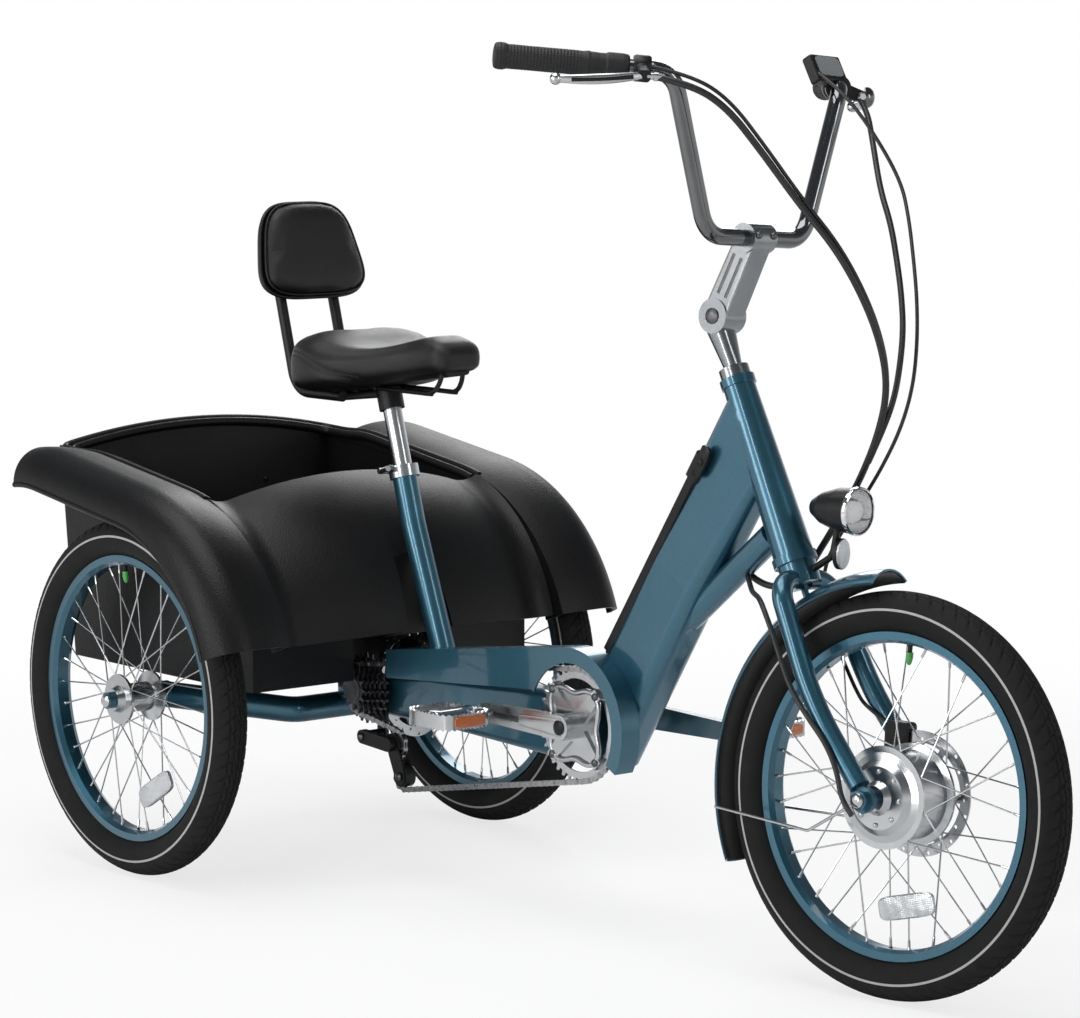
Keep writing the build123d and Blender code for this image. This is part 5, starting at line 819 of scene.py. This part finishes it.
def link_plates(chosen, low, high):
    """Link side plates: a waisted outline set on each chosen link, its flat faces closed to their middle."""
    middle = (pins + link_line / 2)[chosen]
    flat = (middle[:, None] + plate_outline[:, :1] * link_ahead[chosen][:, None]
            + plate_outline[:, 1:] * link_up[chosen][:, None])
    rows = []
    for scale, through in PLATE_ROWS:
        spots = middle[:, None] + scale * (flat - middle[:, None])
        level = np.full(spots.shape[:2], CHAIN_SIDE + low + (high - low) * through)
        rows.append(np.stack([spots[..., 0], level, spots[..., 1]], -1))
    return at(np.stack(rows, 1))


inner_links, outer_links = np.arange(0, links, 2), np.arange(1, links, 2)
plates = np.concatenate([link_plates(inner_links, 1.6, 2.5), link_plates(inner_links, -2.5, -1.6),
                         link_plates(outer_links, 2.5, 3.3), link_plates(outer_links, -3.3, -2.5)])
chain_plates = skin("chain_plates", plates, steel, "chassis")
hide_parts("chain")
pin_feet = np.stack([pins[:, 0], np.full(links, CHAIN_SIDE - 3.7), pins[:, 1]], 1)
ROLLER = ((0, 0), (0, 0.0017), (0.28, 0.0017), (0.28, 0.0038), (0.72, 0.0038), (0.72, 0.0017), (1, 0.0017),
          (1, 0))
rollers = skin("chain_rollers", studs(at(pin_feet), at(pin_feet + (0, 7.4, 0)), ROLLER, 10), steel, "chassis")
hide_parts("chain")

spider_turn = np.radians([45.0, 135.0, 225.0, 315.0])[:, None]
spider_spots = BRACKET + 0.0635 * np.concatenate([np.cos(spider_turn), 0 * spider_turn, np.sin(spider_turn)],
                                                 1)
ring_bolts = skin("chainring_bolts",
                  studs(spider_spots - (0, 0.0565, 0), spider_spots - (0, 0.0605, 0), heads(0.0055)),
                  dark_steel, "crank")
crank_caps = skin("crank_caps", studs(BRACKET + np.array([(0, -0.082, 0), (0, 0.082, 0)]),
                                      BRACKET + np.array([(0, -0.086, 0), (0, 0.086, 0)]), heads(0.0105)),
                                      fitting, "crank")
# Painted shade: a thin dark steel strip laid a little proud along the outer face of each crank arm stands for
# the shadow in its flute.
for sign in (-1, 1):
    groove_shade = BRACKET + np.linspace(0.03, 0.142, 24)[:, None] * (sign, 0, 0) + (0, sign * 0.0825, 0)
    flute_shade = skin(f"crank_flute_shade_{sign + 1}", carry(groove_shade, 0.0042, 0.0006, (0, 1.0, 0), 12), dark_steel,
                 "crank")

root_reach = np.linspace(-0.004, 0.085, 20)
root_line = BRACKET + root_reach[:, None] * (-1, 0, 0) - (0, 0.0765, 0)
crank_root = skin("crank_root",
    carry(root_line, 0.0068, np.linspace(0.0175, 0.0105, 20), (0, 0, 1.0), 24, 4.0), alloy, "crank")
web_turn = np.linspace(0, 2 * math.pi, 160, endpoint=False)
web_reach = 0.0535 - 0.0085 * np.cos(4 * web_turn)
web_flat = np.stack([np.cos(web_turn), 0 * web_turn, np.sin(web_turn)], 1)
web_ring = BRACKET + web_reach[:, None] * web_flat
rail = skin("spider_rail", carry(web_ring - (0, 0.0545, 0), 0.0038, 0.0036, (0, 1.0, 0), 14, 2.6,
                                 closed=True), alloy, "crank", wrap_along=True)
web_rows = np.array([(0, -0.0505), (0.99, -0.0505), (0.99, -0.0535), (0, -0.0535)])
pocket = skin("spider_web", BRACKET + web_rows[:, :1, None] * (web_ring - BRACKET) + web_rows[:, 1:, None]
              * (0, 1, 0), alloy,
              "crank")

PEDAL_HALF = (0.047, 0.042)
for body in ("pedal_right", "pedal_left"):
    centre = JOINTS[body][0]
    outline = rounded(160, 5.0) * PEDAL_HALF
    teeth = np.abs((np.arange(160) / 4) % 1 - 0.5) * 2
    ring = centre + np.concatenate([outline, np.zeros((160, 1))], 1)
    inner = centre + np.concatenate([outline * 0.94, np.zeros((160, 1))], 1)
    edge = (0.0118 - 0.0026 * teeth)[:, None] * (0, 0, 1)
    cage = skin("cage_" + body, np.stack([ring - edge, ring + edge, inner + edge, inner - edge], 1), alloy,
                body, wrap_along=True)
    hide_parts(body)
    barrel = skin("barrel_" + body, studs(centre - (0, 0.041, 0), centre + (0, 0.041, 0), (
        (0, 0), (0, 0.009), (0.08, 0.0125), (0.3, 0.0098), (0.7, 0.0098), (0.92, 0.0125), (1, 0.009), (1, 0)),
        24), alloy, body)
    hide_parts(body)
    for place, shift in (("inner", -0.028), ("outer", 0.028)):
        reach = np.linspace(-0.045, 0.045, 30)
        web = skin(f"web_{place}_{body}", carry(
            centre + reach[:, None] * (1, 0, 0) + (0, shift, 0), 0.002,
            0.0045 + 0.006 * np.exp(-(reach / 0.016)**2),
            (0, 0, 1.0), 16, 5.0), alloy, body)
        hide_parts(body)
    for place, sign in (("front", 1), ("rear", -1)):
        spot = centre + (sign * 0.0478, 0, 0)
        mirror = skin(f"amber_{place}_{body}",
                      plate(spot, (0, 1.0, 0), (0, 0, 1.0), (0.026, 0.0075), 0.004, 5.0), amber, body)
        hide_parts(body)

UPPER_PULLEY, LOWER_PULLEY, HANGER = (266.0, -58.0, 196.0), (286.0, -58.0, 152.0), (206.0, -66.0, 200.0)
cage_bolts = np.array([UPPER_PULLEY, LOWER_PULLEY, HANGER])
mech_bolts = skin("derailleur_bolts", studs(at(cage_bolts), at(cage_bolts - (0, 5, 0)), heads(0.006)),
                  dark_steel, "chassis")

# Brakes: black cast calipers over drilled discs. The rear one has a round piston cover and two steel
# fixing bolts on its outer face.
rear_caliper = at((256.0, 60.5, 244.0))
covers = skin("caliper_cover_rear", studs(rear_caliper, rear_caliper + (0, 0.008, 0), heads(0.014), 24),
              fitting, "chassis")
rear_bolts = rear_caliper + np.array([(0.011, 0, 0.016), (-0.011, 0, -0.016)])
caliper_bolts = skin("caliper_bolts_rear", studs(rear_bolts, rear_bolts + (0, 0.004, 0), heads(0.0045)),
                     steel, "chassis")

# Front fender: painted shade under the painted blade. A thin arched sheet in satin black is turned about
# the front axle just under the blade and darkens the blade's inside.
UNDERSIDE_SHADE_RADIUS, UNDERSIDE_SHADE_EDGE, UNDERSIDE_SHADE_HALF = 0.2822, 0.2668, 0.0345
underside_shade_turn = np.radians(np.linspace(97.3, 204.7, 60))
underside_shade_outer = arc_through((UNDERSIDE_SHADE_EDGE, UNDERSIDE_SHADE_HALF), (UNDERSIDE_SHADE_RADIUS, 0), (UNDERSIDE_SHADE_EDGE, -UNDERSIDE_SHADE_HALF), 24)
underside_shade_inner = underside_shade_outer[::-1] - (0.0008, 0)
underside_shade_middle = (underside_shade_outer + underside_shade_inner[::-1]) / 2
sections = [np.vstack([underside_shade_middle, underside_shade_middle[::-1]]), np.vstack([underside_shade_outer, underside_shade_inner])]
underside_shade_rows = np.stack([sections[0], *[sections[1]] * 60, sections[0]])
underside_shade_turn = np.concatenate([underside_shade_turn[:1], underside_shade_turn, underside_shade_turn[-1:]])[:, None, None]
underside_shade_centre, underside_shade_level, underside_shade_axle, underside_shade_up = wheel_axes("front_wheel")
underside_shade_ring = np.cos(underside_shade_turn) * underside_shade_level + np.sin(underside_shade_turn) * underside_shade_up
# Painted shade: this dark sheet stands for the shadow on the inside of the painted blade.
underside_shade_sheet = skin("fender_underside_shade", underside_shade_centre + underside_shade_rows[..., :1] * underside_shade_ring + underside_shade_rows[..., 1:]
             * underside_shade_axle, fitting,
             "steering")

# Headlamp: a black bullet shell with a bright rim, a mirrored bowl with one lamp chip, and a clear lens,
# on a bracket from the crown with an oval reflector under it.
chrome, chrome_shader, chrome_place = finish("bright_chrome", Metallic=1.0)
grain(chrome_place, 14.0).mix((0.7, 0.71, 0.72, 1), (0.8, 0.81, 0.82, 1)).into(chrome_shader, "Base Color")
(grain(chrome_place, 120.0) * 0.06 + 0.05).into(chrome_shader, "Roughness")
LAMP_SPOT = STEER_FOOT + 0.298 * STEER_UP + (0.0087, 0, 0.1024)


def lamp_ring(profile, count=64):
    """A closed profile of (along, radius) in millimetres carried round the lamp's level axis."""
    along, radius = np.array(profile, float).T / 1000
    circle = rounded(count, 2.0)
    ring = np.stack([np.zeros(count), circle[:, 0], circle[:, 1]], 1)
    return parked(LAMP_SPOT + along[None, :, None] * (1, 0, 0) + radius[None, :, None] * ring[:, None])


bowl = skin("lamp_bowl", lamp_ring(((43.5, 0.2), (46.5, 11.6), (53, 18.5), (62.5, 24.4), (71.6, 26.6),
                                    (71.6, 26.1),
                                    (62, 23.8), (53.4, 17.9), (47.2, 11.0), (44.2, 0.2))), chrome, "steering",
            wrap_along=True)
rim = skin("lamp_rim", lamp_ring(((68.5, 30.0), (69.5, 31.2), (72, 31.6), (75, 31.0), (76, 29.4),
                                  (75.2, 28.6), (72.4, 30.2),
                                  (69, 29.6))), chrome, "steering", wrap_along=True)
chip_finish, chip_shader, chip_place = finish("lamp_chip", Roughness=0.4)
grain(chip_place, 500.0).mix((0.85, 0.72, 0.25, 1), (0.9, 0.8, 0.4, 1)).into(chip_shader, "Base Color")
chip = skin("lamp_chip", parked(studs(LAMP_SPOT + (0.044, 0, 0), LAMP_SPOT + (0.049, 0, 0), heads(0.0065),
                                      24)), chip_finish, "steering")
lens, lens_shader, lens_place = finish("clear_lens", Roughness=0.03, Transmission_Weight=1.0, IOR=1.49)
grain(lens_place, 200.0).bump(0.0002, 0.2).into(lens_shader, "Normal")
dress(lens, "lamp_lens")
oval_spot = LAMP_SPOT + (0.05284, 0, -0.056)
oval = skin("oval_reflector", parked(plate(oval_spot, (0, 1.0, 0), (0, 0, 1.0), (0.0132, 0.0192), 0.003,
                                           2.0)), prism, "steering")

# Stem and handlebar: a forged adjustable stem with a plain pivot bolt and clamp screws holds a
# dark-plated bar bent high and back.
plated, plated_shader, plated_place = finish("dark_chrome", Metallic=1.0)
grain(plated_place, 14.0).mix((0.13, 0.135, 0.14, 1), (0.2, 0.205, 0.21, 1)).into(plated_shader, "Base Color")
(grain(plated_place, 120.0) * 0.08 + 0.08).into(plated_shader, "Roughness")
dress(plated, "handlebar")
forged, forged_shader, forged_place = finish("forged_alloy", Metallic=1.0)
drawn = forged_place.node("ShaderNodeMapping", {}, {0: forged_place, "Scale": (500.0, 60.0, 500.0)})
grain(forged_place, 22.0).mix((0.24, 0.25, 0.26, 1), (0.36, 0.37, 0.38, 1)).into(forged_shader, "Base Color")
(grain(drawn, 1.0) * 0.14 + 0.16).into(forged_shader, "Roughness")
dress(forged, "stem")
PIVOT = fore((232.0, 0, 843.0))
BAR_MIDDLE = fore((279.0, 0, 946.0))
for sign in (-1, 1):
    foot = PIVOT + (0, sign * 0.0205, 0)
    bolt = skin(f"pivot_bolt_{sign + 1}",
                parked(studs(foot, foot + (0, sign * 0.0045, 0), heads(0.0105), 28)), dark_steel,
                "steering")
arm_way = (BAR_MIDDLE - PIVOT) / np.linalg.norm(BAR_MIDDLE - PIVOT)
arm_off = np.cross(arm_way, (0, 1.0, 0))
# Painted shade: thin dark steel strips laid a little proud along both sides of the stem's arm stand for the
# shadows in its grooves.
for sign in (-1, 1):
    for place, shift in (("upper", 0.0068), ("lower", -0.0068)):
        line = (np.linspace(PIVOT + 0.03 * arm_way, BAR_MIDDLE - 0.026 * arm_way, 20)
                + shift * arm_off + (0, sign * 0.0191, 0))
        groove_shade = skin(f"stem_groove_shade_{place}_{sign + 1}", parked(carry(line, 0.0024, 0.0006, (0, 1.0, 0), 12)),
                      dark_steel, "steering")
clamp_feet = BAR_MIDDLE + np.array([(0.0185, -0.015, 0.004), (0.0185, 0.015, 0.004)])
clamp_screws = skin("clamp_screws", parked(studs(clamp_feet, clamp_feet + (0.005, 0, 0), heads(0.0048))),
                    dark_steel, "steering")

# Grips: black rubber sleeves, knurled in diamonds behind a bulged end ring. The right one carries the smooth
# twist throttle and its clamp housing.
grip_rubber, grip_shader, grip_place = finish("grip_rubber", Specular_IOR_Level=0.35)
grain(grip_place, 60.0).mix((0.010, 0.010, 0.010, 1), (0.02, 0.02, 0.02, 1)).into(grip_shader, "Base Color")
(grain(grip_place, 300.0) * 0.12 + 0.5).into(grip_shader, "Roughness")


def bar_run(sign, distance):
    """A point on a grip run, in millimetres inward from the bar's end, and the run's inward direction."""
    end, top = fore((117.0, sign * 332.0, 1158.0)), fore((272.0, sign * 170.0, 1150.0))
    inward = (top - end) / np.linalg.norm(top - end)
    return end + np.asarray(distance)[..., None] / 1000 * inward, inward


def grip_grid(sign, length):
    """A sleeve round the grip run: its radius follows a profile along the run and swells by a diamond knurl,
    the product of two crossed waves, over the hand's part."""
    along = np.concatenate([np.linspace(-4, 112, 190), np.linspace(112.5, length, 60)])
    stations = (-4, -3, -1, 4, 10, 15, 40, 108, 112, 116, 118, 121, 126, 128)
    radii = (8, 14, 16.2, 17.2, 17.0, 15.4, 15.2, 15.4, 15.8, 16.4, 15.6, 15.6, 15.4, 15.2)
    if sign < 0:
        stations += (130, 138, 140, 146, 160, 166, 168)
        radii += (15.0, 15.2, 16.6, 16.9, 16.8, 15.8, 13.5)
    radius = np.interp(along, stations, radii)[:, None]
    turn = np.linspace(0, 2 * math.pi, 96, endpoint=False)[None]
    hand = np.clip((along - 14) / 4, 0, 1) * np.clip((106 - along) / 4, 0, 1)
    ring = np.clip((along + 1) / 2, 0, 1) * np.clip((11 - along) / 2, 0, 1)
    wave = np.cos(14 * turn + along[:, None] * 0.75) * np.cos(14 * turn - along[:, None] * 0.75)
    radius = radius + (0.55 * hand + 0.35 * ring)[:, None] * np.clip(wave * 2.2, -0.6, 0.6)
    spots, inward = bar_run(sign, along)
    level = np.cross((0, 0, 1.0), inward)
    level /= np.linalg.norm(level)
    out = np.cos(turn)[..., None] * level + np.sin(turn)[..., None] * np.cross(inward, level)
    sleeve = spots[:, None] + radius[..., None] / 1000 * out
    ends = [np.broadcast_to(spots[end], (1, 96, 3)) for end in (0, -1)]
    return parked(np.concatenate([ends[0], sleeve, ends[1]]))


for name, sign, length in (("right", -1, 168.0), ("left", 1, 128.0)):
    grip = skin("grip_" + name, grip_grid(sign, length), grip_rubber, "steering", sharp=55.0)
    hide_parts("grips")

# Brake levers: black perches clamped on the bar with forged bright blades, black inlays and ball ends,
# a cable adjuster at each, and a small bell on the left perch.
BALL = [(0.5 - 0.5 * math.cos(turn), math.sin(turn) * 0.0078) for turn in np.linspace(0, math.pi, 15)]
PERCH = ((0, 0), (0, 0.0155), (0.12, 0.0172), (0.88, 0.0172), (1, 0.0155), (1, 0))
for name, sign, start in (("right", -1, 173.0), ("left", 1, 133.0)):
    ends, inward = bar_run(sign, np.array([start, start + 22.0, start + 11.0]))
    ahead = np.cross((0, 0, 1.0), inward) * sign
    ahead /= np.linalg.norm(ahead)
    reach = 0.036 * ahead - (0, 0, 0.01)
    reach_out = reach / np.linalg.norm(reach)
    hinge = ends[2] + reach
    tip = hinge - 0.110 * inward - (0, 0, 0.014)
    ring = skin("perch_" + name, parked(studs(ends[0], ends[1], PERCH, 32)), fitting, "steering")
    arm_line = ends[2] + np.linspace(0.3, 1.12, 14)[:, None] * reach
    arm = skin("perch_arm_" + name,
               parked(carry(arm_line, np.linspace(0.0105, 0.0085, 14), np.linspace(0.0105, 0.0078, 14),
                                                 (0, 0, 1.0), 20, 3.0)), fitting, "steering")
    share = np.linspace(-0.05, 1, 48)[:, None]
    bow = hinge + share * (tip - hinge) + 0.010 * np.sin(math.pi * np.clip(share, 0, 1)) * reach_out
    swell = np.sin(math.pi * np.clip(share[:, 0], 0, 1))
    blade = skin("lever_blade_" + name,
                 parked(carry(bow, 0.0032 + 0.0006 * swell, 0.0045 + 0.0022 * swell, (0, 0, 1.0), 20, 3.0)),
                 alloy, "steering")
    inlay_line = bow[8:40] + 0.0016 * reach_out
    inlay = skin("lever_inlay_" + name, parked(carry(inlay_line, 0.0028, 0.0034, (0, 0, 1.0), 12, 2.5)),
                 fitting, "steering")
    ball_half = 0.0078 * (tip - bow[-6]) / np.linalg.norm(tip - bow[-6])
    ball = skin("lever_ball_" + name, parked(studs(tip - ball_half, tip + ball_half, BALL, 24)), alloy,
                "steering")
    barrel_foot = hinge + 0.004 * inward
    adjuster = skin("adjuster_" + name, parked(studs(barrel_foot, barrel_foot + 0.022 * inward, (
        (0, 0), (0, 0.0048), (0.35, 0.0048), (0.38, 0.0062), (0.62, 0.0062), (0.65, 0.0044), (1, 0.004),
        (1, 0)), 24)), alloy, "steering")
    for piece in (ring, arm, blade, inlay, ball, adjuster):
        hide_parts("brake_levers")
        "alloy" if piece in (blade, ball, adjuster) else "black_metal"
DOME = ((0, 0), (0, 1.0), (0.18, 1.0), (0.5, 0.93), (0.78, 0.7), (0.95, 0.35), (1, 0))
bell_foot = hinge + 0.004 * reach_out + 0.006 * inward
bell = skin("bell", parked(studs(bell_foot, bell_foot + 0.014 * ahead, heads(0.0145, DOME), 32)), plated,
            "steering")

# Display: a black moulded case on the left of the bar, with a grey screen let into each broad face and
# three round keys.
glass, glass_shader, glass_place = finish("grey_screen", Coat_Weight=1.0, Coat_Roughness=0.03)
grain(glass_place, 25.0).mix((0.2, 0.215, 0.22, 1), (0.27, 0.285, 0.29, 1)).into(glass_shader, "Base Color")
(grain(glass_place, 80.0) * 0.1 + 0.25).into(glass_shader, "Roughness")
CASE = fore((242.0, 173.0, 1172.0))
case_out = np.array((math.cos(math.radians(30)), 0, math.sin(math.radians(30))))
case_up = np.array((-case_out[2], 0, case_out[0]))
for name, face in (("front", 1), ("back", -1)):
    screen = skin("screen_" + name,
                  parked(plate(CASE + face * 0.0092 * case_out + 0.002 * case_up, (0, 1.0, 0), case_up,
                                                 (0.025, 0.0145), 0.0016, 6.0)), glass, "steering")
key_feet = CASE - 0.0088 * case_out - 0.0165 * case_up + np.array([(0, -0.018, 0), (0, 0, 0), (0, 0.018, 0)])
keys = skin("display_keys", parked(studs(key_feet, key_feet - 0.003 * case_out, heads(0.0034))), grip_rubber,
            "steering")

# Cables: black hoses and harnesses from the levers and the display, gathered in front of the head tube and
# led to the brace and down the fork. The leads between frame and fork are shaped once, turned a growing
# share of the fork's parked angle along their length.
HARNESS_JOIN, MOTOR_JOIN = (383, 41, 552), (405, -76, 450)
CONTROL_ROUTES = (
    (((271, -217, 1142), (315, -190, 1134), (351, -158, 1108), (381, -120, 1054), (419, -85, 990),
      (463, -58, 934), (493, -30, 866), (505, -8, 806), (503, 5, 758), (483, 18, 708),
      (455, 30, 660), (429, 38, 622), (405, 41, 585), HARNESS_JOIN), 9.0),
    (((240, 249, 1143), (281, 218, 1124), (329, 172, 1080), (378, 130, 1017), (412, 112, 974),
      (438, 95, 928), (463, 76, 884), (483, 58, 838), (497, 36, 790), (500, 24, 752),
      (488, 20, 712), (462, 28, 670)), 8.0),
    (((252, 146, 1168), (294, 139, 1148), (342, 146, 1100), (394, 152, 1031), (427, 130, 982),
      (455, 108, 929), (479, 88, 880), (497, 70, 826), (505, 56, 770), (493, 52, 716),
      (465, 54, 664), (431, 58, 616), (393, 68, 572), (363, 76, 528), (363, 78, 484),
      (383, 76, 440), (411, 72, 400), (439, 61, 372), (467, 46, 356), (511, 47, 336)), 5.0),
    ((MOTOR_JOIN, (421, -78, 420), (443, -80, 382), (475, -82, 350), (507, -84, 322),
      (529, -86, 288), (539, -89, 256), (559, -92, 240)), 7.0),
)
LEAD_ROUTES = (
    (((282, 0, 516), (303, -8, 492), (337, -34, 492), (367, -58, 492), (389, -74, 480), MOTOR_JOIN), 7.0),
    (((277, 6, 512), (303, 14, 494), (339, 34, 500), (363, 41, 522), HARNESS_JOIN), 9.0),
)


def hose(name, points, diameter):
    """A round hose on one smooth spline with the route's points as its control points, made a mesh."""
    curve = bpy.data.curves.new(name, "CURVE")
    curve.dimensions = "3D"
    spline = curve.splines.new("NURBS")
    spline.points.add(len(points) - 1)
    spline.points.foreach_set("co", np.concatenate([points, np.ones((len(points), 1))], 1).ravel())
    spline.order_u = 3
    spline.use_endpoint_u = True
    spline.resolution_u = 8
    curve.bevel_depth = diameter / 2000
    curve.bevel_resolution = 5
    curve.use_fill_caps = True
    drawn = bpy.data.objects.new(name, curve)
    bpy.context.scene.collection.objects.link(drawn)
    mesh = bpy.data.meshes.new_from_object(drawn.evaluated_get(bpy.context.evaluated_depsgraph_get()))
    bpy.data.objects.remove(drawn)
    mesh.shade_smooth()
    mesh.materials.clear()
    mesh.materials.append(cable_black)
    piece = bpy.data.objects.new(name, mesh)
    bpy.context.scene.collection.objects.link(piece)
    return piece


cable_black, cable_shader, cable_place = finish("cable_sheath", Specular_IOR_Level=0.45)
grain(cable_place, 80.0).mix((0.008, 0.008, 0.008, 1), (0.017, 0.017, 0.017, 1)).into(cable_shader,
                                                                                      "Base Color")
(grain(cable_place, 240.0) * 0.12 + 0.34).into(cable_shader, "Roughness")
for number, (points, diameter) in enumerate(CONTROL_ROUTES):
    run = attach(hose(f"control_cable_{number}", parked(fore(points)), diameter), "steering")
    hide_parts("control_cables")
beside = np.linspace(1, 0, len(CONTROL_ROUTES[0][0]))[:, None] * (0, 6.0, 11.0)
brake_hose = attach(hose("control_cable_beside", parked(fore(np.array(CONTROL_ROUTES[0][0]) + beside)), 5.0),
                     "steering")
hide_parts("control_cables")
for number, (points, diameter) in enumerate(LEAD_ROUTES):
    spots = parked(fore(points), PARKED * np.linspace(0, 1, len(points)))
    lead = hose(f"fork_lead_{number}", spots, diameter)
    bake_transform(lead)
    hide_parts("fork_leads")

size = {"cad": [list(corner) for corner in cad_box], "visual": [list(corner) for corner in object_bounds()]}
